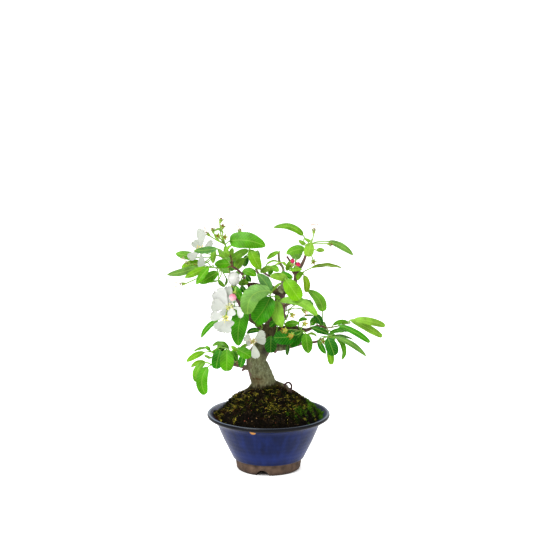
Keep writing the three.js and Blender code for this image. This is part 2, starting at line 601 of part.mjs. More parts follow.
// The directions at a point of a rib: along it, out of the blade's face, and across it.
function ribFrame(rib, share, face) {
  const along = rib.getTangent(share);
  const out = face.clone().addScaledVector(along, -face.dot(along)).normalize();
  return { along, out, across: new THREE.Vector3().crossVectors(along, out) };
}

// The blade's true width, from its width as it is seen on the sheet.
function trueWidth(rib, face, seenWidth, widest) {
  const { along, across } = ribFrame(rib, 0.5, face);
  const sideways = new THREE.Vector3().crossVectors(along, sheetOut).normalize();
  const seen = Math.max(Math.abs(across.dot(sideways)), 0.35);
  return Math.min(seenWidth / seen, widest * rib.getLength());
}

// Half the width of a blade along its rib, from 0 at both ends to 1 where it is widest.
function outlineOf(base, tip) {
  const most = Math.pow(base / (base + tip), base) * Math.pow(tip / (base + tip), tip);
  return (t) => (Math.pow(t, base) * Math.pow(1 - t, tip)) / most;
}
const outlines = { oval: outlineOf(0.55, 0.65), broad: outlineOf(0.38, 0.62), blunt: outlineOf(0.45, 0.38) };
const petalOutline = outlineOf(1.2, 0.36);

// What already holds a place: points with a reach, the shoot that they belong to, and whether they are stalk.
const held = [];
const bladeReach = 1.2;
const freeGap = 0.8;
const kinReach = 1.9;

function bladePoints(blade, shoot) {
  const points = [];
  for (let i = 1; i <= 9; i += 1) {
    const share = i / 9.5;
    const { out, across } = ribFrame(blade.rib, share, blade.face);
    const half = (blade.width / 2) * blade.outline(share);
    for (const side of [-0.9, -0.45, 0, 0.45, 0.9]) {
      const place = blade.rib.getPoint(share).addScaledVector(across, side * half);
      place.addScaledVector(out, blade.fold * Math.abs(side) * half);
      points.push({ place, reach: bladeReach, shoot, stalk: false });
    }
  }
  return points;
}

function stalkPoints(stations, shoot, skipped) {
  const points = [];
  const line = lineOf(stations, 4);
  for (let i = 1; i < line.length; i += 1) {
    const from = line[i - 1].place;
    const pieces = Math.ceil(from.distanceTo(line[i].place) / 2);
    for (let k = 1; k <= pieces; k += 1) {
      const place = from.clone().lerp(line[i].place, k / pieces);
      if (place.distanceTo(line[0].place) > skipped) {
        points.push({ place, reach: line[i].radius, shoot, stalk: true });
      }
    }
  }
  return points;
}

function isFree(points) {
  const box = new THREE.Box3().setFromPoints(points.map((p) => p.place)).expandByScalar(12);
  const near = held.filter((h) => h.reach > 5 || box.containsPoint(h.place));
  return points.every((p) =>
    near.every((h) => {
      const kin = h.shoot === p.shoot;
      if (kin && (h.stalk || p.stalk)) return true;
      const reach = kin ? kinReach : h.reach + p.reach + freeGap;
      return p.place.distanceToSquared(h.place) > reach * reach;
    }),
  );
}

// Shifts in depth, the smallest first, by which leaves and stalks let each other by.
const shifts = [0];
for (let shift = 2; shift <= 40; shift += 2) shifts.push(-shift, shift);

// Takes the first shift at which what is made stays free of all that is held.
function settle(make) {
  let made = make(0);
  for (const shift of shifts) {
    const tried = make(shift);
    if (isFree(tried.points)) {
      made = tried;
      made.free = true;
      break;
    }
  }
  held.push(...made.points);
  return made;
}

// The places on a shoot's stems that stalks may leave from: those in the outer part of each stem.
function nodesOf(stem) {
  const line = lineOf(stem, 4);
  return line.slice(Math.round(line.length * 0.4)).map(({ place }) => ({ place, taken: 0 }));
}

// A stalk from a near place on the shoot's stems to where it is wanted. Places in use are left to others.
function stalkTo(nodes, end, arrive, sway) {
  const cost = (node) => node.place.distanceTo(end) + 3 * node.taken;
  const node = nodes.reduce((best, one) => (cost(one) < cost(best) ? one : best));
  const reach = node.place.distanceTo(end);
  const stations = [{ place: node.place, radius: stalkRadius }, { place: end, radius: stalkRadius }];
  if (reach > 6 || sway !== 0) {
    const middle = node.place.clone().lerp(end, 0.55).addScaledVector(arrive, -0.18 * reach);
    middle.y += sway;
    stations.splice(1, 0, { place: middle, radius: stalkRadius });
  }
  return { stations, node };
}

for (const [name, rows] of Object.entries(woodLimbs)) {
  held.push(...stalkPoints(stationsOf(rows), "wood " + name, -1));
}

const plans = {};
for (const [name, shoot] of Object.entries(shoots)) {
  const stems = shoot.stems.map(stationsOf);
  for (const stem of stems) held.push(...stalkPoints(stem, name, 3));
  plans[name] = { stems, nodes: stems.flatMap(nodesOf), leaves: [], heads: [] };
}

// Flower cups and blossoms keep their places, so they are set before the stalks and leaves.
const cup = { length: 5.2, throat: 1.1, radius: 2, sepal: 4.6 };
for (const [name, shoot] of Object.entries(shoots)) {
  for (const [u, v, y, aimX, aimY, aimZ, kind] of shoot.heads) {
    const centre = at(u, v, y);
    const aim = new THREE.Vector3(aimX, aimY, aimZ).normalize();
    plans[name].heads.push({ centre, aim, kind });
    const reach = kind === "open" || kind === "cup" ? 2.4 : 3.6;
    held.push({ place: centre, reach, shoot: name, stalk: false });
    held.push({ place: centre.clone().addScaledVector(aim, -3.5), reach: 2.4, shoot: name, stalk: true });
  }
}
for (const [distance, radius] of bowl.rows.slice(2)) {
  const { centre, aim } = plans[blossoms.blossom_cup.shoot].heads[blossoms.blossom_cup.head];
  for (const spoke of spokesRound(aim, 0, 10)) {
    const place = centre.clone().addScaledVector(aim, distance).addScaledVector(spoke, radius);
    held.push({ place, reach: bladeReach, shoot: "blossom_cup", stalk: false });
  }
}
const petalSheets = {};
for (const [name, blossom] of Object.entries(blossoms)) {
  const { centre, aim } = plans[blossom.shoot].heads[blossom.head];
  petalSheets[name] = blossom.petals.map(([u, v, y, wide, bow]) => {
    const tip = at(u, v, y);
    const spoke = tip.clone().sub(centre);
    spoke.addScaledVector(aim, -spoke.dot(aim)).normalize();
    const start = centre.clone().addScaledVector(spoke, petalRoot);
    const rib = ribOf(start, tip, bow, aim, -0.1);
    const width = trueWidth(rib, aim, wide, 0.95);
    const petal = { rib, face: aim, width, outline: petalOutline, fold: 0.16 };
    held.push(...bladePoints(petal, name));
    return petal;
  });
}
for (const [name, plan] of Object.entries(plans)) {
  for (const head of plan.heads) {
    const end = head.centre.clone().addScaledVector(head.aim, -cup.length + 0.6);
    head.stalk = settle((shift) => {
      const { stations, node } = stalkTo(plan.nodes, end, head.aim, shift);
      return { stations, node, points: stalkPoints(stations, name, 4) };
    });
    head.stalk.node.taken += 1;
  }
}
for (const [name, shoot] of Object.entries(shoots)) {
  for (const [fromU, fromV, toU, toV, fromY, toY, wide, bow, look, shape] of shoot.leaves) {
    const leaf = settle((shift) => {
      const rib = ribOf(at(fromU, fromV, fromY + shift), at(toU, toV, toY + shift), bow, looks[look], 0.07);
      const width = trueWidth(rib, looks[look], wide, 0.72);
      const blade = { rib, face: looks[look], width, outline: outlines[shape ?? "oval"], fold: 0.14 };
      const { stations, node } = stalkTo(plans[name].nodes, rib.getPoint(0), rib.getTangent(0), 0);
      const points = [...bladePoints(blade, name), ...stalkPoints(stations, name, 4)];
      return { blade, stations, node, points };
    });
    leaf.node.taken += 1;
    plans[name].leaves.push(leaf);
  }
}

// ---- Solids ----

// A closed three.js geometry as a solid that can be joined and cut.
function solidOf(geometry) {
  const bare = geometry.clone();
  bare.deleteAttribute("normal");
  bare.deleteAttribute("uv");
  const merged = mergeVertices(bare, 1e-4);
  return new wasm.Manifold(
    new wasm.Mesh({
      numProp: 3,
      vertProperties: new Float32Array(merged.attributes.position.array),
      triVerts: new Uint32Array(merged.index.array),
    }),
  );
}

function geometryFrom(places, triangles) {
  const positions = places.flatMap((p) => [p.x, p.y, p.z]);
  const geometry = new THREE.BufferGeometry();
  geometry.setAttribute("position", new THREE.Float32BufferAttribute(positions, 3));
  geometry.setIndex(triangles.flat());
  return geometry;
}

// Joins solids that grow together. Scraps that a cut leaves loose are dropped.
function joined(solids, ...cuts) {
  const whole = cuts.reduce((left, cut) => left.subtract(cut), solids.reduce((all, one) => all.add(one)));
  return whole.decompose().reduce((most, one) => (one.volume() > most.volume() ? one : most));
}

// A solid from rings of places, closed by a first and a last place.
function ringsSolid(first, rings, last) {
  const sides = rings[0].length;
  const places = [...rings.flat(), first, last];
  const [start, end] = [places.length - 2, places.length - 1];
  const triangles = [];
  for (let k = 0; k < sides; k += 1) {
    const next = (k + 1) % sides;
    const top = (rings.length - 1) * sides;
    triangles.push([start, next, k], [end, top + k, top + next]);
    for (let low = 0; low < top; low += sides) {
      triangles.push([low + k, low + next, low + sides + next]);
      triangles.push([low + k, low + sides + next, low + sides + k]);
    }
  }
  return solidOf(geometryFrom(places, triangles));
}

// A round limb that tapers along a smooth line, closed at both ends.
function limb(stations, sides, stepsPerSpan = 1, extra = 0) {
  const line = lineOf(stations, stepsPerSpan);
  let spoke = new THREE.Vector3(0.31, 0.95, 0.07);
  const rings = line.map(({ place, radius }, i) => {
    const before = line[Math.max(i - 1, 0)].place;
    const after = line[Math.min(i + 1, line.length - 1)].place;
    const along = after.clone().sub(before).normalize();
    spoke = spoke.clone().addScaledVector(along, -spoke.dot(along)).normalize();
    const other = new THREE.Vector3().crossVectors(along, spoke);
    return Array.from({ length: sides }, (_, k) => {
      const turn = (2 * Math.PI * k) / sides;
      const rim = place.clone().addScaledVector(spoke, Math.cos(turn) * (radius + extra));
      return rim.addScaledVector(other, Math.sin(turn) * (radius + extra));
    });
  });
  return ringsSolid(line[0].place, rings, line[line.length - 1].place);
}

// A thin blade on its stalk. The section is a flat diamond, thickest at the rib, and both faces are split
// alike. Between two sections the margin stands out once more, as a tooth.
function bladeSolid({ rib, face, width, outline, fold }, stalk, { spans, thick, tooth, wave }) {
  const sections = [];
  for (let i = 0; i < spans; i += 1) {
    const half = Math.max((width / 2) * outline(i / spans) * (1 - tooth), stalkRadius);
    const place = rib.getPoint(i / spans);
    sections.push({ place, half, deep: thick / 2, ...ribFrame(rib, i / spans, face) });
  }
  for (let i = stalk.length - 2; i >= 0; i -= 1) {
    const along = stalk[i + 1].place.clone().sub(stalk[i].place).normalize();
    const out = sections[0].out.clone();
    out.addScaledVector(along, -out.dot(along)).normalize();
    const across = new THREE.Vector3().crossVectors(along, out);
    sections.unshift({ place: stalk[i].place, half: stalkRadius, deep: stalkRadius, out, across });
  }
  const leafStart = sections.length - spans;
  const places = [];
  const add = (place) => places.push(place) - 1;
  const tip = add(rib.getPoint(1));
  const rows = sections.map(({ place, half, deep, out, across }, i) => {
    const swing = i > leafStart ? wave * width : 0;
    const row = { upper: add(place.clone().addScaledVector(out, deep)) };
    row.lower = add(place.clone().addScaledVector(out, -deep));
    for (const side of [-1, 1]) {
      const lift = fold * half + swing * Math.sin(2.1 * i + side);
      row[side] = add(place.clone().addScaledVector(across, side * half).addScaledVector(out, lift));
    }
    return row;
  });
  const toothAt = (i, side) => {
    const share = Math.min((i - leafStart + 0.65) / spans, 0.96);
    const { out, across } = ribFrame(rib, share, face);
    const half = (width / 2) * outline(share);
    return add(rib.getPoint(share).addScaledVector(across, side * half).addScaledVector(out, fold * half));
  };
  const triangles = [];
  for (const side of [-1, 1]) {
    const put = (a, b, c) => triangles.push(side > 0 ? [a, b, c] : [a, c, b]);
    put(rows[0].lower, rows[0][side], rows[0].upper);
    rows.forEach((row, i) => {
      const next = rows[i + 1] ?? { upper: tip, lower: tip, [side]: tip };
      const stands = tooth > 0 && i >= leafStart ? toothAt(i, side) : null;
      for (const [middle, other, turned] of [[row.upper, next.upper, false], [row.lower, next.lower, true]]) {
        const set = (a, b, c) => (turned ? put(a, c, b) : put(a, b, c));
        if (stands === null) {
          set(middle, row[side], other);
          if (other !== tip) set(other, row[side], next[side]);
        } else {
          set(middle, row[side], stands);
          set(middle, stands, other);
          if (other !== tip) set(other, stands, next[side]);
        }
      }
    });
  }
  return solidOf(geometryFrom(places, triangles));
}

// Five directions round an axis.
function spokesRound(aim, turn = 0, count = 5) {
  const first = new THREE.Vector3(0.2, 0.1, 0.97).cross(aim).normalize();
  return Array.from({ length: count }, (_, i) =>
    first.clone().applyAxisAngle(aim, turn + (2 * Math.PI * i) / count),
  );
}

// A ring of points and hollows by turns, for sepals and for stamens.
function starRing({ centre, aim }, turn, count, height, hollow, point, lift) {
  return spokesRound(aim, turn, 2 * count).map((spoke, k) => {
    const pointed = k % 2 === 0;
    const rise = height + (pointed ? lift : 0);
    return centre.clone().addScaledVector(aim, rise).addScaledVector(spoke, pointed ? point : hollow);
  });
}

// The flower cup at the end of a stalk, with its five pointed sepals. A spent one keeps its stamens.
function cupSolid(head) {
  const along = (distance) => head.centre.clone().addScaledVector(head.aim, distance);
  const lift = cup.sepal * (head.kind === "spent" || head.kind === "bare" ? 0.3 : -0.35);
  const top = -cup.throat;
  const rings = [
    starRing(head, 0.3, 5, top - 1, cup.radius, cup.sepal, lift),
    starRing(head, 0.3, 5, top, cup.radius * 0.8, cup.sepal * 0.8, lift + 0.3),
  ];
  if (head.kind === "spent") {
    const reach = stamenLength * 0.64;
    rings.push(starRing(head, 0.3, 5, top + 0.2, 1.1, 1.1, 0));
    rings.push(starRing(head, 0.3, 5, top + 0.8, 0.7, reach, stamenLength * 0.78));
  }
  return ringsSolid(along(-cup.length), rings, along(head.kind === "spent" ? top + 1.9 : top));
}

// Stamens spread from the middle of an open flower.
function stamenSolid(head) {
  const along = (distance) => head.centre.clone().addScaledVector(head.aim, distance);
  const out = stamenLength * (head.kind === "cup" ? 0.25 : 0.64);
  const up = stamenLength * 0.76;
  const rings = [
    starRing(head, 0.2, 7, 1.4, 0.9, out + 0.35, up - 0.35),
    starRing(head, 0.2, 7, 2.2, 0.5, out - 0.35, up + 0.35),
  ];
  return ringsSolid(along(1), rings, along(2.5));
}

// The bowl of the half-open blossom. It is drawn in and lower at the five seams between its petals.
function bowlSolid({ centre, aim }) {
  const sides = 15;
  const top = bowl.rows[bowl.rows.length - 1][0];
  const ring = (distance, radius) =>
    spokesRound(aim, 0, sides).map((spoke, k) => {
      const full = Math.abs(Math.sin((2.5 * 2 * Math.PI * (k + 0.5)) / sides));
      const risen = Math.max(distance / top, 0);
      const drop = bowl.seamDrop * (1 - full) * Math.pow(risen, 3);
      const round = radius * (1 - bowl.seamIn * (1 - full) * risen);
      return centre.clone().addScaledVector(aim, distance - drop).addScaledVector(spoke, round);
    });
  const outer = bowl.rows.map(([distance, radius]) => ring(distance, radius));
  const lining = bowl.rows.slice(2).toReversed();
  const inner = lining.map(([distance, radius]) => ring(distance, radius - bowl.wall));
  const floor = centre.clone().addScaledVector(aim, bowl.floor);
  return ringsSolid(centre.clone().addScaledVector(aim, bowl.rows[0][0]), [...outer, ...inner], floor);
}

function petalSolid(petals, { centre, aim }) {
  const along = (distance) => centre.clone().addScaledVector(aim, distance);
  const hub = limb([{ place: along(-0.7), radius: 1.9 }, { place: along(0.6), radius: 1.9 }], 6);
  const form = { spans: 2, thick: petalThick, tooth: 0.02, wave: 0.02 };
  const sheets = petals.map((petal) => bladeSolid(petal, [], form));
  return joined([hub, ...sheets]);
}

// A closed bud: its petals lap round it in five low spiral ridges.
function budSolid({ centre, aim }, { radius, length }) {
  const low = -cup.throat + gap;
  const along = (distance) => centre.clone().addScaledVector(aim, distance);
  const rings = [1, 2, 3, 4, 5].map((i) => {
    const share = i / 6;
    const round = radius * Math.pow(Math.sin(Math.PI * Math.pow(share, 0.9)), 0.75);
    return spokesRound(aim, 0.7 * share, 10).map((spoke, k) =>
      along(low + length * share).addScaledVector(spoke, round * (k % 2 ? 1.09 : 1)),
    );
  });
  return ringsSolid(along(low), rings, along(low + length));
}

// ---- Pot, screen and soil ----

const potRounds = 30;

function lathe(profile) {
  const points = profile.map(([radius, height]) => new THREE.Vector2(radius, height));
  return solidOf(new THREE.LatheGeometry(points, potRounds).rotateX(Math.PI / 2));
}

// The inside of the pot, from the floor's edge up to the lip.
const potInside = [[34, drain.floorHigh], [37.5, 16], [pot.neck - pot.wall, 55], [60, 61], [69, 66.4]];

function potSolid() {
  const bowl = lathe([
    [drain.radius, drain.floorLow], [30, drain.floorLow], [31, 0], [36.2, 0], [38, 2.2],
    [pot.foot, pot.footHeight], [pot.waist, pot.footHeight + 1.6], [pot.belly, 36.6], [pot.neck, 54.5],
    [63, 58.5], [72.4, 63.4], [pot.rim, 65], [71.4, pot.height], ...potInside.toReversed(),
    [drain.radius, drain.floorHigh], [drain.radius, drain.floorLow],
  ]);
  const arch = new THREE.Shape();
  const half = notch.width / 2;
  arch.moveTo(-half, -1);
  arch.lineTo(half, -1);
  arch.lineTo(half, 0);
  arch.quadraticCurveTo(half * 0.95, notch.height * 0.75, half * 0.5, notch.height * 0.85);
  arch.quadraticCurveTo(0, notch.height * 1.1, -half * 0.5, notch.height * 0.85);
  arch.quadraticCurveTo(-half * 0.95, notch.height * 0.75, -half, 0);
  let feet = bowl;
  for (let i = 0; i < notch.count; i += 1) {
    const cutter = new THREE.ExtrudeGeometry(arch, { depth: 24, bevelEnabled: false, curveSegments: 2 });
    cutter.rotateX(Math.PI / 2).translate(0, -22, 0);
    cutter.rotateZ(THREE.MathUtils.degToRad(notch.firstTurn + 90 + (360 / notch.count) * i));
    feet = feet.subtract(solidOf(cutter));
  }
  return feet;
}

function screenSolid() {
  const height = drain.floorHigh + gap + screen.thick / 2;
  const plate = new THREE.BoxGeometry(screen.side, screen.side, screen.thick).translate(0, 0, height);
  const pitch = screen.side / (screen.holes + 0.6);
  let mesh = solidOf(plate);
  for (let i = 0; i < screen.holes; i += 1) {
    for (let j = 0; j < screen.holes; j += 1) {
      const x = (i - (screen.holes - 1) / 2) * pitch;
      const y = (j - (screen.holes - 1) / 2) * pitch;
      const opening = new THREE.BoxGeometry(screen.hole, screen.hole, 3 * screen.thick);
      mesh = mesh.subtract(solidOf(opening.translate(x, y, height)));
    }
  }
  return mesh;
}

// The mound's height over the foot plane at a radius, before its bumps.
const moundProfile = [
  [0, 102], [14, 101], [20, 98.5], [30, 91.5], [40, 85], [48, 79], [54, 73], [58, 67.5], [60.2, 62.5],
];

function moundHeight(radius) {
  const next = moundProfile.findIndex(([r]) => r >= radius);
  if (next <= 0) return moundProfile[0][1];
  const [r0, z0] = moundProfile[next - 1];
  const [r1, z1] = moundProfile[next];
  return THREE.MathUtils.mapLinear(radius, r0, r1, z0, z1);
}

function moundSolid() {
  const rounds = 24;
  const ring = (radius, height, bump) =>
    Array.from({ length: rounds }, (_, k) => {
      const turn = (2 * Math.PI * k) / rounds;
      const wave = Math.sin(5 * turn + radius / 6) + Math.sin(11 * turn - radius / 4);
      const place = new THREE.Vector3(radius * Math.cos(turn), radius * Math.sin(turn), 0);
      return place.setZ(height + bump * wave);
    });
  const inside = potInside.slice(0, 4).map(([radius, height]) => [radius - gap * 1.4, height]);
  inside[0][1] += gap;
  const rings = inside.map(([radius, height]) => ring(radius, height, 0));
  for (const radius of [58, 53, 45, 35, 24, 12]) rings.push(ring(radius, moundHeight(radius), 1.1));
  const floor = new THREE.Vector3(0, 0, inside[0][1]);
  const body = ringsSolid(floor, rings, new THREE.Vector3(0, 0, moundHeight(0)));
  const side = screen.side + 2 * gap;
  const recess = new THREE.BoxGeometry(side, side, 2 * (screen.thick + 2 * gap));
  recess.translate(0, 0, drain.floorHigh);
  return body.subtract(solidOf(recess)).subtract(woodWithGap);
}

// ---- The pieces ----

// Thick limbs have more sides than twigs.
function sidesOf(rows) {
  const thickest = Math.max(...rows.map((row) => row[3]));
  if (thickest > 10) return 10;
  return thickest > 2.5 ? 6 : 4;
}
const woodOf = (extra) =>
  joined(Object.values(woodLimbs).map((rows) => limb(stationsOf(rows), sidesOf(rows), 1, extra)));
const wood = woodOf(0);
const woodWithGap = woodOf(gap);

function shootSolid(plan) {
  const parts = plan.stems.map((stem) => limb(stem, 3));
  for (const { blade, stations } of plan.leaves) {
    const length = blade.rib.getLength();
    const form = { spans: 3, thick: leafThick, tooth: 0.14, wave: 0.03 };
    if (length > 36) form.spans = 4;
    if (length < 24) form.spans = 2;
    if (blade.width < 6) form.tooth = 0;
    parts.push(bladeSolid(blade, stations, form));
  }
  for (const head of plan.heads) {
    parts.push(limb(head.stalk.stations, 3));
    parts.push(cupSolid(head));
  }
  return joined(parts, woodWithGap);
}

// ---- Scene graph ----

const bonsai = new THREE.Group();

function meshFrom(name, solid, colour, roughness) {
  const { vertProperties, triVerts } = solid.getMesh();
  const geometry = new THREE.BufferGeometry();
  geometry.setAttribute("position", new THREE.BufferAttribute(vertProperties, 3));
  geometry.setIndex(new THREE.BufferAttribute(triVerts, 1));
  geometry.computeVertexNormals();
  const material = new THREE.MeshStandardMaterial({ color: colour, roughness, metalness: 0 });
  const mesh = new THREE.Mesh(geometry, material);
  mesh.name = name;
  return mesh;
}

const colours = {
  glaze: 0x2a3570, screen: 0x2b2f2c, moss: 0x4a4a1c, bark: 0x77715c, leaf: 0x5aa31c, petal: 0xf6f5f0,
  stamen: 0xe3cf6a,
};

bonsai.add(meshFrom("pot", potSolid(), colours.glaze, 0.2));
bonsai.add(meshFrom("drainage_screen", screenSolid(), colours.screen, 0.6));
bonsai.add(meshFrom("soil_mound", moundSolid(), colours.moss, 0.95));
bonsai.add(meshFrom("wood", wood, colours.bark, 0.85));
for (const [name, plan] of Object.entries(plans)) {
  bonsai.add(meshFrom(name, shootSolid(plan), colours.leaf, 0.45));
}
for (const [name, blossom] of Object.entries(blossoms)) {
  const head = plans[blossom.shoot].heads[blossom.head];
  const petals = head.kind === "cup" ? bowlSolid(head) : petalSolid(petalSheets[name], head);
  bonsai.add(meshFrom(name + "_petals", petals, colours.petal, 0.6));
  bonsai.add(meshFrom(name + "_stamens", stamenSolid(head), colours.stamen, 0.7));
}
for (const [name, bud] of Object.entries(buds)) {
  const head = plans[bud.shoot].heads[bud.head];
  bonsai.add(meshFrom(name, budSolid(head, bud), bud.colour, 0.5));
}

// The part's origin is under the middle of the whole object, on the plane that it stands on.
const reach = new THREE.Box3().setFromObject(bonsai);
const middle = reach.getCenter(new THREE.Vector3());
bonsai.position.set(-middle.x, -middle.y, -reach.min.z);

export default bonsai;
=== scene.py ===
# A flowering crabapple bonsai in its glazed pot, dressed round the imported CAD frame.
import math
import random

import bpy
import numpy as np
from mathutils import Matrix, Vector, kdtree, noise


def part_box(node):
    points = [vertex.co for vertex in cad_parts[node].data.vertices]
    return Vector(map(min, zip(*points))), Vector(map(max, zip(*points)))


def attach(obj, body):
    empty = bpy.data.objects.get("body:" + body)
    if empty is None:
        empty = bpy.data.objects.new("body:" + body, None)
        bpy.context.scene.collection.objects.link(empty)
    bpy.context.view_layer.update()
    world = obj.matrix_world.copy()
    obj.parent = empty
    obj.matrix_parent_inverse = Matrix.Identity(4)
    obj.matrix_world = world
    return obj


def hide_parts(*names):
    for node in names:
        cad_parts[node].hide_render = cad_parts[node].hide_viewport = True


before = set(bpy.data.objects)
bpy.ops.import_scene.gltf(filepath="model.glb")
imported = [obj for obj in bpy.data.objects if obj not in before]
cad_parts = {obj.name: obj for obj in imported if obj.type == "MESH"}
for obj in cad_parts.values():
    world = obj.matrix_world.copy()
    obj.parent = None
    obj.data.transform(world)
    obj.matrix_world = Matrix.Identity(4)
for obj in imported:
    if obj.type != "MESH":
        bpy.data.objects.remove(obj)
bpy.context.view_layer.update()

# Everything below is worked out in millimetres from the pot's axis at its foot, and placed in metres.
mm = 0.001
potLow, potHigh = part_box("pot")
potAxis = np.array([(potLow.x + potHigh.x) / 2, (potLow.y + potHigh.y) / 2, 0.0]) / mm

# The tree is set out on an elevation sheet: u to the right of the pot's axis, v up the sheet, y depth.
sheet = {
    "tilt": math.radians(10.5),
    "distance": 2000.0,
    "eyeRight": -2.4,
    "eyeUp": 240.0,
    "footLine": 2.4,
    "widthShown": 639.6,
}
sheetRight = np.array([1.0, 0.0, 0.0])
sheetUp = np.array([0.0, math.sin(sheet["tilt"]), math.cos(sheet["tilt"])])
sheetOut = np.array([0.0, -math.cos(sheet["tilt"]), math.sin(sheet["tilt"])])
eye = sheetRight * sheet["eyeRight"] + sheetUp * sheet["eyeUp"] + sheetOut * sheet["distance"]


def at(u, v, y):  # the point at depth y that is seen at u, v on the sheet
    drawn = sheetRight * u + sheetUp * (v - sheet["footLine"])
    return eye + (drawn - eye) * (y - eye[1]) / (drawn[1] - eye[1])


def placed(points):  # millimetres from the pot's axis to metres in the frame
    return (np.asarray(points, float).reshape(-1, 3) + potAxis) * mm


def unit(v):
    return v / np.linalg.norm(v)


def clamped(value):
    return min(1.0, max(0.0, value))


def linear(code):  # sRGB hex to linear colour
    parts = [int(code[i : i + 2], 16) / 255 for i in (0, 2, 4)]
    return tuple(c / 12.92 if c <= 0.04045 else ((c + 0.055) / 1.055) ** 2.4 for c in parts) + (1.0,)


def toneOf(code):
    return np.array(linear(code)[:3])


# Camera and light.
camera = bpy.data.objects.new("camera", bpy.data.cameras.new("camera"))
camera.data.sensor_width = 36.0
camera.data.lens = camera.data.sensor_width * sheet["distance"] / sheet["widthShown"]
camera.data.clip_end = 200.0
turned = Matrix([sheetRight, sheetUp, sheetOut]).transposed().to_4x4()
camera.matrix_world = Matrix.Translation(Vector(placed(eye)[0])) @ turned
bpy.context.collection.objects.link(camera)
bpy.context.scene.camera = camera

studio = {
    "world": 0.5,
    "aim": (0.0, 0.0, 0.16),
    "key": {"at": (-0.8, -1.0, 1.2), "size": 0.7, "watts": 18.0},
    "fill": {"at": (1.3, -1.2, 0.6), "size": 1.4, "watts": 5.0},
    "back": {"at": (0.3, 1.2, 1.3), "size": 1.0, "watts": 12.0},
}
bpy.context.scene.view_settings.view_transform = "Standard"
bpy.context.scene.view_settings.look = "Medium High Contrast"
world = bpy.data.worlds.new("whiteTent")
bpy.context.scene.world = world
world.use_nodes = True
background = world.node_tree.nodes["Background"]
background.inputs["Color"].default_value = linear("ffffff")
background.inputs["Strength"].default_value = studio["world"]
for name in ("key", "fill", "back"):
    lamp = bpy.data.objects.new(name, bpy.data.lights.new(name, "AREA"))
    lamp.data.shape = "DISK"
    lamp.data.size = studio[name]["size"]
    lamp.data.energy = studio[name]["watts"]
    lamp.location = studio[name]["at"]
    aim = Vector(studio["aim"]) - lamp.location
    lamp.rotation_euler = aim.to_track_quat("-Z", "Y").to_euler()
    bpy.context.collection.objects.link(lamp)
print("camera and light stand")


# Materials: one node with its settings and links. A node as a source means its first output, and stops
# are a ramp's places with their colours.
def addNode(tree, kind, settings=None, links=None):
    made = tree.nodes.new("ShaderNode" + kind)
    for key, value in (settings or {}).items():
        if key == "stops":
            ramp = made.color_ramp
            while len(ramp.elements) < len(value):
                ramp.elements.new(1.0)
            for element, (position, code) in zip(ramp.elements, value.items()):
                element.position = position
                element.color = linear(code)
        elif isinstance(key, int) or key in made.inputs:
            made.inputs[key].default_value = value
        else:
            setattr(made, key, value)
    for key, source in (links or {}).items():
        socket = source.outputs[0] if isinstance(source, bpy.types.Node) else source
        tree.links.new(socket, made.inputs[key])
    return made


def newMaterial(name):  # an empty material, its tree, and where each point is, in metres
    material = bpy.data.materials.new(name)
    material.use_nodes = True
    tree = material.node_tree
    tree.nodes.clear()
    return material, tree, addNode(tree, "TexCoord").outputs["Object"]


def perMm(size):  # the scale at which a pattern in metres repeats about every so many millimetres
    return 1.0 / (size * mm)


multiply = {"data_type": "RGBA", "blend_type": "MULTIPLY", 0: 1.0}


# a piece's own tone, made darker and lighter by a fine noise: the colour and the noise
def mottled(tree, where, size, detail, dark, pale):
    tone = addNode(tree, "Attribute", {"attribute_name": "tone"})
    cloud = addNode(tree, "TexNoise", {"Scale": perMm(size), "Detail": detail}, {"Vector": where})
    shade = addNode(tree, "MapRange", {1: 0.3, 2: 0.7, 3: dark, 4: pale}, {0: cloud})
    return addNode(tree, "Mix", multiply, {6: tone, 7: shade}).outputs[2], cloud


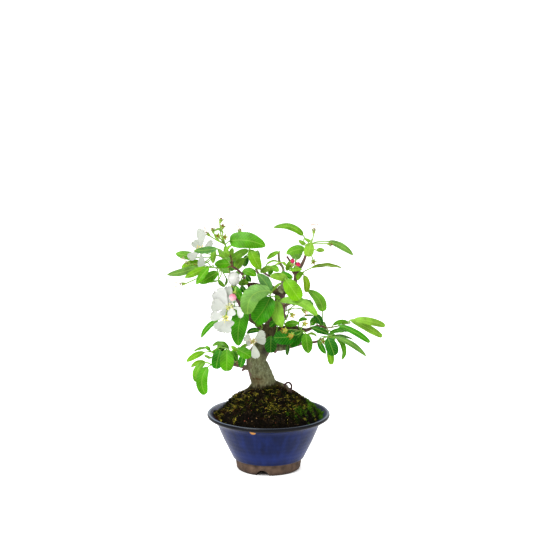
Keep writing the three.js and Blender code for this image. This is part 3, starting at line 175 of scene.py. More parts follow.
# Limbs of the woody tree: u, v, y and radius at each station.
woodLimbs = {
  "trunk": [
    [-5, 70, 2, 13], [-6, 90, 1, 15.4], [-6.5, 103, 0, 14.6], [-8.5, 110, 0, 13.7], [-12, 120, 0, 13],
    [-14.8, 129, 0, 11.9], [-12, 138, 0, 11.6], [-6, 147, 0, 10], [-1, 158, 1, 8.8], [1, 168, 2, 7.6],
    [6, 180, 3, 6.2], [11, 194, 4, 5.2], [13.5, 205, 4, 5.6], [14.5, 212, 4, 6.2], [16, 218, 4, 3.4],
  ],
  "crownLeft": [
    [13, 211, 3, 4], [6, 213, 2, 3], [-2, 216.5, 0, 2.4], [-10, 219.5, -2, 2.1], [-17, 221.3, -3, 2],
    [-25, 221.5, -4, 1.9], [-28.5, 226, -5, 1.6], [-31, 232.5, -6, 1.4], [-37.5, 238.8, -8, 1.3],
    [-43, 242.5, -9, 1.4], [-44, 247.5, -10, 1.2],
  ],
  "crownLeftSpur": [[-22, 221.3, -4, 1.6], [-24.5, 217.4, -6, 1.1]],
  "crownRight": [
    [15, 212, 4, 4.2], [22, 213, 5, 3.2], [29, 216.5, 6, 2.6], [32, 222, 6, 2.3], [32.3, 229, 6, 2.2],
    [33.5, 235, 6, 2.3], [37.5, 240.5, 6, 2.1], [41, 246.5, 6, 2], [44, 254, 6, 1.6], [45.8, 262, 5, 1.1],
  ],
  "crownRightTwigA": [[31, 233.5, 6, 1.6], [27.5, 240, 5, 1.3], [26, 248, 4, 1.2], [22, 254.6, 3, 1.15]],
  "crownRightTwigB": [[33.5, 236, 6, 1.4], [31.5, 241, 3, 1.1], [33.5, 248, 2, 0.9]],
  "crossTwig": [
    [32, 220.5, 6, 1.8], [27, 223.5, 4, 1.5], [21, 226, 2, 1.3], [14, 226.3, -1, 1.2], [7, 228.5, -4, 1.2],
    [0, 231.5, -7, 1.2], [-6, 235.5, -10, 1.3], [-10.5, 240.5, -12, 1.3], [-14.5, 245, -13, 1.2],
  ],
  "cutStub": [
    [15, 215, 2, 2.4], [17, 224, -3, 1.9], [18, 233, -5, 1.7], [17.4, 240.6, -6, 1.6], [14, 246, -6, 1.6],
    [12.5, 252, -6, 1.5], [12.3, 259, -6, 1.4],
  ],
  "kneeTwig": [[14, 207, 2, 1.6], [18.5, 197, -7, 1.2], [19, 187, -9, 1.1], [21, 178, -9, 1]],
  "middleLeft": [
    [-1, 166, -2, 4.5], [-8, 171, -6, 3.4], [-14, 174.5, -9, 2.7], [-22, 178.5, -13, 2.2],
    [-29, 187, -17, 1.8], [-35, 197, -21, 1.5], [-39.5, 206, -24, 1.2],
  ],
  "lowLeft": [
    [-15, 117.5, 0, 5], [-24, 120.5, -3, 3], [-31, 122.5, -6, 2.3], [-38, 124, -9, 2.1],
    [-44, 125.5, -12, 1.9], [-52, 131, -14, 1.6], [-60, 136.5, -16, 1.2],
  ],
  "lowLeftStub": [[-22, 119.3, -2, 1.9], [-28, 119.6, -3, 1.5], [-32, 117.6, -4, 1.3]],
  "lowRight": [
    [-4, 147, 0, 7], [6, 146, -2, 5.6], [14, 145.5, -4, 4.4], [22, 146, -6, 3.2], [31, 148, -8, 2.4],
    [41, 150.2, -10, 1.9], [50, 151.2, -11, 1.6], [57, 152, -12, 1.4], [63, 155, -13, 1.1],
  ],
  "lowRightStub": [[8, 144, -3, 2.6], [8, 138.5, -4, 1.6]],
  "highRight": [
    [1, 163, 2, 5.5], [12, 165.5, 2, 4.6], [22, 167.5, 3, 4], [31, 168, 4, 3.6], [38, 167, 4, 2.8],
    [45, 166, 4, 2.2], [52, 168.5, 3, 1.8], [59, 171, 2, 1.4], [66, 170.5, 1, 1.1],
  ],
  "frontSpur": [[0, 170, -2, 3.2], [-2, 182, -14, 2.2], [0, 195, -22, 1.6], [2, 203, -26, 1.2]],
  "backLeft": [
    [-3, 162, 4, 5], [-12, 172, 18, 3.6], [-24, 186, 32, 2.6], [-34, 200, 42, 1.9], [-42, 214, 50, 1.2],
  ],
  "backRight": [
    [2, 168, 6, 4.2], [7, 180, 20, 3], [13, 190.5, 32, 2.3], [25, 198, 40, 1.8], [38, 200.5, 46, 1.4],
  ],
  "backTop": [[12, 211, 6, 3], [4, 218, 18, 2.2], [-6, 226, 28, 1.7], [-14, 236, 36, 1.2]],
  "backLow": [[-6, 140, 4, 4.5], [4, 146, 18, 3], [14, 152, 32, 2.1], [22, 160, 44, 1.3]],
  "rootRight": [[0, 104, -2, 8], [9, 101, -4, 4.2], [18, 98.5, -6, 3], [27, 90, -8, 1.8]],
  "rootLeft": [[-14, 100, 0, 7], [-24, 93.5, -4, 3], [-33, 85, -8, 1.8]],
  "rootBack": [[-4, 104, 8, 7], [0, 101, 20, 3.6], [4, 97, 32, 1.8]],
  "rootLoop": [
    [18.5, 98, -6, 1.5], [21, 102.2, -5, 1.2], [24.5, 103.2, -5, 1.2], [27.6, 99.5, -6, 1.2],
    [26.5, 91, -7, 1.2],
  ],
}

# Leafy shoots. Stem: u, v, y, radius. Leaves: base u, v, tip u, v, depth at base and tip, width as seen
# on the sheet, sideways bow, where the upper side looks, and the shape where it isn't oval.
# Heads are flower cups: u, v, y, the way they point as x, y, z, and what they carry.
shoots = {
  "shoot_far_left": {
    "stem": [[-43, 243, -9, 1.1], [-50, 241.6, -12, 0.9], [-58, 241, -16, 0.85], [-66, 241, -20, 0.75],
      [-72, 241.5, -22, 0.6]],
    "leaves": [
      [-83, 243, -121.8, 232.6, -22, -26, 9, 1.6, "front"],
      [-83, 249, -104.5, 241.5, -10, -6, 9, 0, "front"],
      [-74.5, 241.5, -100.5, 229, -30, -36, 8.5, 0, "front"],
      [-71.5, 241, -86.5, 220.8, -38, -44, 8.5, -1, "front"],
      [-61, 236, -83, 222.4, -26, -32, 12, 0.4, "front"],
      [-60.5, 225.5, -71, 223.2, -14, -18, 2.4, 0, "up"],
      [-60, 226.5, -52, 218.2, -12, -14, 5, -1, "front"],
      [-51, 229, -53, 219, -6, -8, 3, 1.5, "right"],
    ],
    "heads": [[-104, 221.5, -18, -1, -0.1, -0.05, "spent"]],
  },
  "shoot_upper_left": {
    "stem": [[-43.6, 245.8, -9.6, 1.1], [-51, 250, -14, 0.9], [-58, 254.5, -17, 0.8], [-66, 257, -18, 0.7]],
    "leaves": [
      [-86, 253.5, -111.5, 258, -12, -8, 10.5, 0, "front"],
      [-62, 264, -89.8, 261, -44, -50, 8.2, 0.6, "front"],
      [-65, 263.5, -66.5, 246, -34, -38, 7, -0.5, "front"],
      [-47.5, 246, -64.8, 245, -26, -30, 11, 0, "front"],
      [-52, 253, -61, 264, -22, -24, 6, 0, "front"],
      [-51, 262, -45.5, 268, -24, -26, 3.5, 0, "front"],
    ],
    "heads": [
      [-97.5, 247, -14, -0.8, -0.3, 0.5, "spent"],
      [-87, 243.5, -20, -0.5, -0.7, 0.3, "bare"],
      [-81, 261.5, -24, -0.35, -0.75, 0.5, "open"],
    ],
  },
  "shoot_top_left": {
    "stem": [[-43.8, 248, -10, 1.1], [-46, 256, -6, 0.95], [-50, 264, -8, 0.85], [-52.5, 270, -9, 0.75]],
    "leaves": [
      [-46.5, 273, -3.6, 266.6, -18, -26, 20, 3.5, "front", "broad"],
      [-49, 254, -52.5, 267, -16, -18, 6.5, 0, "front"],
      [-46, 253, -43, 265, -2, 0, 6, 0, "front"],
      [-66, 284.5, -54, 282, -8, -8, 3, 3.5, "up"],
    ],
    "heads": [
      [-73.5, 282, -14, -0.7, -0.2, 0.7, "spent"],
      [-67, 286.5, -6, -0.2, -0.3, 0.9, "bare"],
      [-57, 298.5, -10, 0.3, -0.3, 0.9, "bare"],
      [-55, 290.5, -18, 0.2, -0.6, 0.8, "bare"],
      [-60.5, 279, -22, -0.1, -1, 0.2, "bare"],
      [-52.5, 277.5, -26, 0.2, -1, 0.1, "bare"],
      [-34.5, 285.5, -12, 0.1, -0.2, 1, "spent"],
    ],
  },
  "shoot_top_middle": {
    "stem": [[-14, 244.5, -13, 1], [-17, 251, -14, 0.85], [-20, 257, -15, 0.75], [-23, 262.5, -15, 0.65]],
    "leaves": [
      [-24, 262, -45.5, 250, -4, 4, 9.5, -1, "front"],
      [-22, 262.5, -9.5, 238.5, -24, -30, 13, -0.5, "front"],
      [-26, 256, -29, 242, 14, 18, 8, 0, "front"],
      [-29, 252, -40.5, 238, 4, 8, 10, -1, "front"],
    ],
  },
  "shoot_inner_left": {
    "stem": [[-30.5, 231, -6, 0.95], [-28, 233.5, -13, 0.8], [-27, 235, -18, 0.7]],
    "leaves": [
      [-30, 238, -14.5, 231, -22, -26, 9, 1, "front"],
      [-27, 232, -21, 224, -14, -16, 6, 0, "front"],
      [-24, 225, -36.5, 221.5, -12, -14, 8, 0, "front"],
      [-33, 219, -27.5, 210.5, -14, -16, 6.5, 0, "front"],
    ],
  },
  "shoot_blossom_left": {
    "stem": [[-39, 204.5, -24, 0.95], [-41, 210, -25, 0.85], [-42, 214, -25, 0.7]],
    "leaves": [
      [-41, 218.5, -33, 201, -18, -24, 9, 1, "front"],
      [-47, 217.5, -41.5, 211.5, -32, -34, 5, 0, "front"],
      [-39, 187.5, -35, 179.5, -32, -32, 3.5, 0, "front"],
    ],
    "heads": [
      [-41, 220.5, -18, -0.1, -0.25, 1, "cup"],
      [-41.5, 209, -52, -0.35, -0.3, -0.85, "bud"],
      [-47, 193, -42, 0.1, -0.95, 0.1, "open"],
      [-51.5, 180.5, -54, 0.15, -0.95, 0.15, "open"],
    ],
  },
  "shoot_middle_left": {
    "stem": [[-27, 184, -16, 0.95], [-27.5, 188, -22, 0.85], [-28.5, 191.5, -26, 0.7]],
    "leaves": [
      [-29.5, 192, -35.8, 147.2, -30, -38, 21, -3, "front", "broad"],
    ],
  },
  "shoot_behind_blossom": {
    "stem": [[-33.8, 195, -20, 0.95], [-42, 190, -17, 0.8], [-50, 184.5, -18, 0.7]],
    "leaves": [
      [-60, 178.5, -80.8, 156.8, -24, -28, 6.8, -2.8, "front"],
      [-46, 192, -52, 203, -14, -12, 10, 0, "front"],
    ],
  },
  "shoot_front": {
    "stem": [[1.5, 201, -25, 1], [2, 206, -30, 0.85], [2, 211, -34, 0.7]],
    "leaves": [
      [2, 213, -25, 185, -42, -56, 21, -11, "front", "blunt"],
      [2, 206, -17, 175.8, -34, -42, 23.5, 1.5, "front", "blunt"],
      [2, 211.5, -13.5, 233.5, -36, -38, 13, -2, "front"],
      [7, 207, 14.5, 203, -26, -26, 5, 0, "front"],
      [-2, 208.5, -8.5, 205.5, -30, -32, 5, 0, "front"],
      [5, 213, 16, 223, -26, -24, 3.5, 1, "front"],
    ],
  },
  "shoot_knee": {
    "stem": [[18.5, 196.5, -7, 0.95], [15.5, 199.5, -16, 0.8], [13, 201, -26, 0.7]],
    "leaves": [
      [14, 200.8, 58, 183.5, -38, -50, 10.5, 7.6, "front", "blunt"],
      [9.5, 201, 17, 169.5, -46, -54, 16, -2.5, "front", "broad"],
    ],
  },
  "shoot_knee_low": {
    "stem": [[20.8, 179, -9, 0.95], [23, 184, -12, 0.8], [24.5, 190, -14, 0.65]],
    "leaves": [
      [19.5, 172.5, 37, 174.5, -20, -24, 8, 0.5, "front"],
    ],
    "heads": [
      [28.5, 184, -22, 0.3, -0.9, -0.2, "spent"],
      [43, 189, -16, 0.6, -0.6, -0.4, "spent"],
    ],
  },
  "shoot_lime": {
    "stem": [[22, 225.7, 1.5, 0.95], [23, 226.5, -8, 0.8], [23, 227, -18, 0.65]],
    "leaves": [
      [23, 227, 1.5, 230.5, -24, -28, 9.5, -1.5, "front"],
      [29, 229.5, 15.5, 236.5, -12, -10, 6.5, 1, "front"],
      [20.5, 226.5, 37.5, 202.5, -28, -34, 18.5, 0, "front", "blunt"],
    ],
  },
  "shoot_stub": {
    "stem": [[15, 245.5, -6, 0.95], [11, 245, -12, 0.8], [6, 243.5, -17, 0.7], [3, 242.8, -20, 0.6]],
    "leaves": [
      [13.5, 247.5, -3.5, 243, -12, -14, 2.6, -3.5, "up"],
      [5, 241.5, -10, 235, -22, -24, 7.5, -1, "front"],
      [3.5, 242, 12, 236, -26, -26, 8, 1, "front"],
      [4.5, 240.5, 0.5, 232, -16, -18, 6, 0, "front"],
      [16, 247.5, 20.5, 243, -12, -12, 3.6, 1, "front"],
    ],
  },
  "shoot_stub_top": {
    "stem": [[12.4, 257, -6, 0.95], [13, 259, -9, 0.8], [13.5, 260.5, -12, 0.65]],
    "leaves": [
      [12.5, 260, -2, 251, -12, -12, 5.5, -1, "front"],
    ],
  },
  "shoot_top_right": {
    "stem": [[45.5, 261, 5, 0.95], [48, 266, 2, 0.85], [51.5, 270.5, 0, 0.7]],
    "leaves": [
      [41.2, 280, 6, 289, -4, -8, 8.2, -5.6, "front", "broad"],
      [43.5, 268, 36, 274.2, 2, 2, 4.5, 0, "front"],
      [43.5, 263.5, 21.4, 257.5, -14, -18, 11, -1.6, "front"],
      [50.5, 271, 47, 254.2, -22, -24, 13.5, 0, "front", "blunt"],
      [72, 272.6, 101.6, 256, -4, -8, 8, 2.2, "front"],
      [57.5, 262, 67.4, 261.5, -10, -12, 5.4, 0.4, "front"],
      [43, 275.8, 52, 271.8, -12, -12, 3.5, 0, "front"],
    ],
    "heads": [
      [54.5, 286, 2, 0.05, -0.2, 1, "spent"],
      [74.5, 269, -12, 0.9, -0.5, -0.1, "bare"],
      [54, 248, -16, 0.1, -1, -0.3, "bare"],
    ],
  },
  "shoot_buds": {
    "stem": [[27.5, 239.5, 5, 0.95], [26.5, 240, -2, 0.8], [27, 241, -7, 0.7]],
    "leaves": [
      [21.5, 237.5, 26, 249.5, -4, -6, 5.5, 0, "front"],
      [26, 237.5, 40.5, 238.5, -14, -16, 5, 1, "front"],
    ],
    "heads": [
      [28.8, 246.6, -10, 0, -0.2, 1, "bud"],
      [34.6, 243.6, -12, 0.45, -0.3, 0.7, "bud"],
    ],
  },
  "shoot_olive": {
    "stem": [[33.8, 233.5, 6, 0.95], [38, 234.5, 1, 0.8], [42, 235, -3, 0.65]],
    "leaves": [
      [41.5, 235, 35.2, 225.5, -8, -10, 6.5, -2, "front"],
      [42.5, 231.5, 45, 211.5, -10, -14, 8, 2.2, "front", "blunt"],
      [51, 240.5, 88, 240.5, -2, 2, 4.6, 3.5, "up"],
    ],
  },
  "shoot_long_stalk": {
    "stem": [[62.4, 171, 1.4, 0.9], [65, 175, 0, 0.75], [64.5, 180, -1, 0.65]],
    "leaves": [
      [65, 188.6, 46.8, 213.6, -4, -8, 13, -4.6, "front", "broad"],
    ],
  },
  "shoot_right_tip": {
    "stem": [[65.8, 170.4, 1, 1], [70, 168.8, -2, 0.9], [76, 169.5, -4, 0.85], [83, 170.8, -6, 0.8],
      [91, 173.2, -8, 0.75], [98, 174.5, -10, 0.65]],
    "leaves": [
      [98.5, 178.5, 136.5, 158, -14, -20, 9, 1, "front", "blunt"],
      [103, 179, 140, 171, -26, -30, 9, 1.6, "front", "blunt"],
      [84.5, 172, 121.5, 151.2, -18, -26, 7.6, 2, "front", "blunt"],
      [77.5, 172, 96.5, 174, 2, 4, 5.6, 3, "front", "blunt"],
    ],
  },
  "shoot_right_low": {
    "stem": [[62.3, 154.5, -13, 1], [68, 157.5, -15, 0.85], [74, 158.5, -17, 0.75], [80, 158.5, -19, 0.65]],
    "leaves": [
      [73, 161.5, 101, 163.5, -10, -8, 5.2, 3.8, "up"],
      [73.5, 158.5, 102, 154.5, -14, -16, 3.2, 2.5, "up"],
      [80, 158, 117.4, 134.4, -24, -32, 7, 3, "front"],
      [82, 155.5, 87.7, 130.2, -20, -26, 6, 5.5, "right"],
      [71, 156.5, 79, 135.5, -34, -40, 15, 0.5, "front", "blunt"],
      [73, 147, 75.5, 124.6, -24, -28, 8.4, 0, "front", "blunt"],
      [60, 154, 69, 137.6, -26, -32, 7, -1, "front"],
    ],
    "heads": [[65.5, 152.5, -28, 0.2, -1, -0.1, "bare"]],
  },
  "shoot_flower_hub": {
    "stem": [[38, 166.5, 4, 0.95], [39, 165.5, -6, 0.85], [39.5, 165, -14, 0.75]],
    "leaves": [
      [44.5, 162, 48, 138.2, -22, -26, 13.5, 0, "front"],
      [36.5, 176.5, 46.8, 178.5, -6, -6, 4.5, 2, "front"],
      [46.5, 160.5, 58, 158, -16, -16, 3, 2.5, "up"],
      [35, 160.5, 6.5, 157, -24, -30, 18, 1, "front", "blunt"],
      [41, 163, 25, 147.5, -16, -20, 14, 0, "front", "blunt"],
    ],
    "heads": [
      [43.5, 173.5, -22, 0.4, -0.8, 0.4, "spent"],
      [27.5, 160.5, -34, -0.2, -1, -0.1, "spent"],
      [20, 166, -34, -0.3, -1, 0.1, "spent"],
    ],
  },
  "shoot_right_dark": {
    "stem": [[58.8, 171, 2, 0.95], [57.5, 176, 0, 0.8], [55.5, 183, -3, 0.65]],
    "leaves": [
      [55, 184.5, 63.5, 171.5, -8, -10, 9, 1.5, "front"],
      [56, 182, 51.5, 171.5, -2, 0, 8, 0, "front"],
      [54, 183.2, 41.3, 182.4, 2, 2, 2.4, -1, "up"],
      [51, 169.5, 73, 160.8, -12, -14, 7.4, 0.6, "front"],
    ],
  },
  "shoot_low_right": {
    "stem": [[10, 146, -4, 1], [9, 151, -12, 0.85], [6, 156, -18, 0.7]],
    "leaves": [
      [3, 159, 2.5, 138.8, -20, -26, 15.5, 0, "front", "blunt"],
      [22.5, 149, 22.5, 135.3, -14, -16, 5.2, 0, "right"],
      [9, 178, 1.5, 170, -12, -14, 7, 0, "front"],
    ],
  },
  "shoot_low_blossom": {
    "stem": [[-8, 170, -6, 1], [-8.5, 167, -14, 0.85], [-11.5, 165, -22, 0.7]],
    "leaves": [
      [-11, 165.5, -26, 162, -26, -28, 6.5, -2, "front"],
      [-9, 173, -16.5, 170.8, -14, -16, 4, 0, "front"],
    ],
    "heads": [[-18.8, 152.4, -42, -0.1, -0.95, 0.25, "open"]],
  },
  "shoot_low_left": {
    "stem": [[-59.5, 136.3, -16, 1], [-66, 139, -18, 0.85], [-71, 140.5, -20, 0.7]],
    "leaves": [
      [-77, 139.5, -98.4, 128, -20, -26, 7.6, -1.4, "front"],
      [-74, 144.5, -90, 140.3, -12, -8, 3, -1.5, "up"],
      [-70, 142, -75.5, 147, -18, -18, 4.5, 0, "front"],
      [-68, 133, -77, 136.2, -26, -28, 3.2, 1, "up"],
      [-47.5, 143.5, -67.5, 147, -12, -16, 5.5, -4.6, "up"],
      [-52, 145.5, -66, 140, -6, -8, 7, 0, "front"],
      [-58, 142, -63, 119.5, -22, -28, 14, -0.5, "front", "blunt"],
      [-50, 143, -50, 116.8, -30, -36, 17, 0, "front", "blunt"],
    ],
  },
  "shoot_low_left_hanging": {
    "stem": [[-52, 130.5, -14, 1], [-58, 127.5, -20, 0.85], [-64, 124.5, -26, 0.75], [-69, 124, -30, 0.65]],
    "leaves": [
      [-76, 127.5, -86.5, 104, -30, -34, 9, -4.6, "front", "blunt"],
      [-73, 121.5, -75.5, 89, -40, -46, 14, -5.5, "front", "blunt"],
      [-75.5, 127.3, -93, 121.5, -22, -26, 6, -2.5, "front"],
    ],
  },
  "shoot_low_left_front": {
    "stem": [[-38, 124.3, -9, 1], [-37.5, 131, -16, 0.85], [-36.5, 138, -22, 0.75], [-36, 145, -26, 0.6]],
    "leaves": [
      [-37.5, 142.5, -21.5, 133.5, -36, -42, 13.5, 1, "front", "blunt"],
      [-34.5, 144, -18.5, 150.5, -34, -34, 4, 1, "front"],
      [-30, 137, -34, 121.5, -26, -28, 9, 0, "front"],
      [-44, 141.5, -37.5, 129, -18, -20, 8, 0, "front"],
      [-37, 141, -45, 147, -22, -22, 5, 0, "front"],
    ],
  },
  "shoot_back_left": {
    "stem": [[-41.5, 213, 50, 0.95], [-44, 222, 54, 0.85], [-46, 232, 56, 0.75], [-48, 240, 58, 0.65]],
    "leaves": [
      [-46, 236, -62, 243, 60, 66, 12, 0, "back"],
      [-45, 228, -34, 236, 58, 62, 12, 0, "back"],
      [-48, 240, -52, 258, 60, 66, 12, 0, "back"],
      [-47, 238, -36, 254, 62, 70, 12, 0, "back"],
      [-43, 220, -38, 206, 54, 58, 12, 0, "back"],
    ],
    "heads": [[-46, 197, 66, -0.2, 0.9, 0.35, "open"]],
  },
  "shoot_back_middle": {
    "stem": [[-24, 187, 33, 0.95], [-26, 186, 38, 0.85], [-28, 185, 43, 0.7]],
    "leaves": [
      [-30, 186, -38, 166, 46, 52, 13, 0, "back"],
      [-24, 187, -10, 198, 44, 50, 13, 0, "back"],
      [-27, 188, -24, 206, 44, 52, 12, 0, "back"],
    ],
  },
  "shoot_back_top": {
    "stem": [[-13.5, 235.5, 36, 0.95], [-15, 241, 40, 0.85], [-15, 247, 43, 0.7]],
    "leaves": [
      [-15, 248, -13, 262, 46, 52, 9, 0, "back"],
      [-16, 238, -32, 234, 42, 50, 10, 0, "back"],
      [-10, 232, 3, 218, 38, 42, 11, 0, "back"],
    ],
  },
  "shoot_back_right": {
    "stem": [[37.6, 200.4, 46, 0.95], [39, 202, 50, 0.85], [38.5, 204.5, 54, 0.7]],
    "leaves": [
      [37.5, 206, 28, 219, 56, 62, 12, 0, "back"],
      [41, 202, 54, 194.5, 53, 58, 9, 0, "back"],
      [38, 200, 21, 199, 50, 56, 8, 0, "back"],
      [36, 207, 20, 212, 50, 54, 10, 0, "back"],
    ],
    "heads": [[10, 188, 52, 0.1, 0.9, 0.35, "open"]],
  },
  "shoot_back_low": {
    "stem": [[21.5, 159.5, 44, 0.95], [23, 161, 49, 0.85], [24, 162, 53, 0.7]],
    "leaves": [
      [22, 160, 7, 156, 52, 58, 12, 0, "back"],
      [25, 162, 40, 156, 54, 60, 12, 0, "back"],
      [24, 163, 30, 176, 52, 58, 11, 0, "back"],
    ],
  },
  "shoot_back_high_right": {
    "stem": [[33, 237.5, 6, 1], [33, 241, 18, 0.85], [32, 246, 30, 0.7]],
    "leaves": [
      [32, 252, 26.5, 265, 34, 40, 8.5, 0, "back"],
      [33.5, 251, 40, 265, 32, 38, 8.5, 0, "back"],
      [32, 243, 37, 232, 28, 32, 8, 0, "back"],
    ],
  },
  "shoot_back_far_right": {
    "stem": [[52, 168.5, 3, 1], [60, 168, 18, 0.9], [70, 166, 30, 0.8], [78, 164, 38, 0.65]],
    "leaves": [
      [70, 168, 60, 177, 34, 40, 9, 0, "back"],
      [80, 165, 96, 168, 40, 46, 8, 0, "back"],
      [76, 163, 74, 147, 38, 44, 11, 0, "back"],
      [72, 165, 58, 163, 34, 42, 7, 0, "back"],
    ],
  },
  "shoot_back_low_left": {
    "stem": [[-30, 123, -5, 1], [-38, 127.5, 10, 0.9], [-46, 131, 22, 0.8], [-54, 134, 30, 0.65]],
    "leaves": [
      [-55, 134, -64, 124, 34, 42, 11, 0, "back"],
      [-50, 133, -49, 120, 32, 40, 11, 0, "back"],
      [-55, 137, -60, 150, 34, 40, 9, 0, "back"],
      [-42, 130, -33, 124, 24, 30, 8, 0, "back"],
    ],
  },
}

# Open blossoms: each petal by its tip u, v, y, its width as seen and its sideways bow.
blossoms = {
  "blossom_top_left": {
    "shoot": "shoot_upper_left",
    "head": 2,
    "petals": [[-95.5, 251.5, -26, 10, 0], [-80, 241.5, -32, 9, 0], [-66.5, 271.5, -26, 8, 0],
      [-80.5, 288, -22, 11, 0], [-90, 273, -16, 10, 0]],
  },
  "blossom_cup": {"shoot": "shoot_blossom_left", "head": 0, "petals": []},
  "blossom_upper": {
    "shoot": "shoot_blossom_left",
    "head": 2,
    "petals": [[-63.5, 214, -40, 18, 0], [-69, 197, -44, 16, 0], [-34.5, 180.5, -44, 7.5, 6.5],
      [-43.5, 208, -36, 8, 0], [-49, 219, -34, 10, 0]],
  },
  "blossom_lower": {
    "shoot": "shoot_blossom_left",
    "head": 3,
    "petals": [[-70, 184, -56, 12, 0], [-62.5, 166, -60, 13, 0], [-51.5, 162, -60, 13, 0],
      [-43.5, 171, -56, 9, 0], [-41, 190, -50, 9, 0]],
  },
  "blossom_low_centre": {
    "shoot": "shoot_low_blossom",
    "head": 0,
    "petals": [[-28.5, 158.5, -44, 10.5, 0], [-4.5, 163.5, -42, 10, 0], [-3, 154, -44, 10, 0],
      [-14.5, 132, -48, 10, 0], [-26.5, 149, -38, 7.5, 0]],
  },
  "blossom_back_left": {
    "shoot": "shoot_back_left",
    "head": 0,
    "petals": [[-62, 200, 70, 13, 0], [-50, 213, 64, 13, 0], [-34, 206, 66, 13, 0], [-35, 188, 74, 13, 0],
      [-54, 183, 76, 13, 0]],
  },
  "blossom_back_right": {
    "shoot": "shoot_back_right",
    "head": 0,
    "petals": [[-4, 192, 56, 12, 0], [7, 202, 50, 12, 0], [22, 196, 52, 12, 0], [20, 179, 60, 12, 0],
      [3, 175, 62, 12, 0]],
  },
}


# Lines, ribs and clearance, as the tree's frame has them.
growth = {
    "stalkRadius": 0.55,
    "petal": {"root": 1.5, "rise": -0.1, "widest": 0.95, "fold": 0.16},
    "leaf": {"rise": 0.07, "widest": 0.72, "fold": 0.14},
    "bladeReach": 1.2,
    "headReach": 3.6,
    "openReach": 2.4,
    "freeGap": 0.8,
    "kinReach": 1.9,
    "stamenLength": 6.6,
}
cup = {
    "length": 5.2,
    "throat": 1.1,
    "sepal": 4.6,
    "profile": [(0.0, 0.55), (0.8, 0.9), (1.6, 1.5), (2.6, 1.75), (3.4, 1.6), (3.8, 1.85), (4.1, 2.0)],
}
# a blossom that is still half shut: along its axis, and how wide it is there
bowl = {
    "rows": [(-0.7, 1.8), (0.7, 3.7), (3.4, 5.8), (7.5, 7.1), (11.6, 6.9), (14.6, 5.1), (16.0, 3.2)],
    "petals": 5,
    "petalHalf": math.radians(47),
}
looks = {
    "front": unit(np.array([0.0, -1.0, 0.45])),
    "up": unit(np.array([0.0, -0.5, 1.0])),
    "right": unit(np.array([0.8, -0.75, 0.4])),
    "back": unit(np.array([0.0, 0.9, 0.6])),
}


def outlineOf(base, tip):  # half the width of a blade along its rib, 1 where it is widest
    most = (base / (base + tip)) ** base * (tip / (base + tip)) ** tip
    return lambda t: np.power(t, base) * np.power(1 - t, tip) / most


outlines = {"oval": outlineOf(0.55, 0.65), "broad": outlineOf(0.38, 0.62), "blunt": outlineOf(0.45, 0.38)}
petalOutline = outlineOf(1.2, 0.36)


def stationsOf(rows):
    return [(at(u, v, y), radius) for u, v, y, radius in rows]


def lineOf(stations, stepsPerSpan):  # a smooth line through the stations, with the radius at each step
    places = [place for place, _ in stations]
    full = [2 * places[0] - places[1], *places, 2 * places[-1] - places[-2]]
    line = []
    for i in range((len(places) - 1) * stepsPerSpan + 1):
        span = min(i // stepsPerSpan, len(places) - 2)
        share = i / stepsPerSpan - span
        before, start, end, after = full[span : span + 4]
        leaving = (end - before) / 2
        arriving = (after - start) / 2
        square = 3 * (end - start) - 2 * leaving - arriving
        cube = 2 * (start - end) + leaving + arriving
        place = start + leaving * share + square * share**2 + cube * share**3
        radius = stations[span][1] + (stations[span + 1][1] - stations[span][1]) * share
        line.append((place, radius))
    return line


def ribOf(base, tip, bow, face, rise):
    run = tip - base
    length = np.linalg.norm(run)
    across = unit(np.cross(sheetOut, run))
    out = unit(face - run * (face @ run) / length**2)
    lift = rise * length
    middle = (base + tip) / 2 + out * lift + across * (bow - lift * (out @ across))
    return base, 2 * middle - base / 2 - tip / 2, tip


def ribPoint(rib, t):
    base, pull, tip = rib
    return base * (1 - t) ** 2 + pull * 2 * t * (1 - t) + tip * t**2


def ribFrame(rib, t, face):  # along the rib, out of the blade's face, and across it
    base, pull, tip = rib
    along = unit((pull - base) * (1 - t) + (tip - pull) * t)
    out = unit(face - along * (face @ along))
    return along, out, np.cross(along, out)


def ribLength(rib):
    points = np.array([ribPoint(rib, i / 200) for i in range(201)])
    return np.linalg.norm(np.diff(points, axis=0), axis=1).sum()


def trueWidth(rib, face, seenWidth, widest):
    along, _, across = ribFrame(rib, 0.5, face)
    seen = max(abs(across @ unit(np.cross(along, sheetOut))), 0.35)
    return min(seenWidth / seen, widest * ribLength(rib))


def circleRound(aim, turns):  # points on a circle of radius 1 across an axis
    first = unit(np.cross(np.array([0.2, 0.1, 0.97]), aim))
    other = np.cross(aim, first)
    return np.outer(np.cos(turns), first) + np.outer(np.sin(turns), other)


def spokesRound(aim, turn=0.0, count=5):
    return circleRound(aim, turn + 2 * np.pi * np.arange(count) / count)


# What already holds a place: points with a reach, whose they are, and whether they are stalk.
held = {
    "place": np.zeros((0, 3)),
    "reach": np.zeros(0),
    "owner": np.zeros(0, int),
    "stalk": np.zeros(0, bool),
}
owners = []


def ownerOf(name):
    if name not in owners:
        owners.append(name)
    return owners.index(name)


def pointsOf(places, reaches, name, stalk):
    places = np.asarray(places, float).reshape(-1, 3)
    return {
        "place": places,
        "reach": np.broadcast_to(np.asarray(reaches, float), len(places)),
        "owner": np.full(len(places), ownerOf(name)),
        "stalk": np.full(len(places), stalk),
    }


def bothPoints(one, other):
    return {key: np.concatenate([one[key], other[key]]) for key in one}


def hold(points):
    held.update(bothPoints(held, points))


def bladePoints(blade, name):
    places = []
    for i in range(1, 10):
        share = i / 9.5
        _, out, across = ribFrame(blade["rib"], share, blade["face"])
        half = blade["width"] / 2 * blade["outline"](share)
        for side in (-0.9, -0.45, 0.0, 0.45, 0.9):
            lift = blade["fold"] * abs(side) * half
            places.append(ribPoint(blade["rib"], share) + across * side * half + out * lift)
    return pointsOf(places, growth["bladeReach"], name, False)


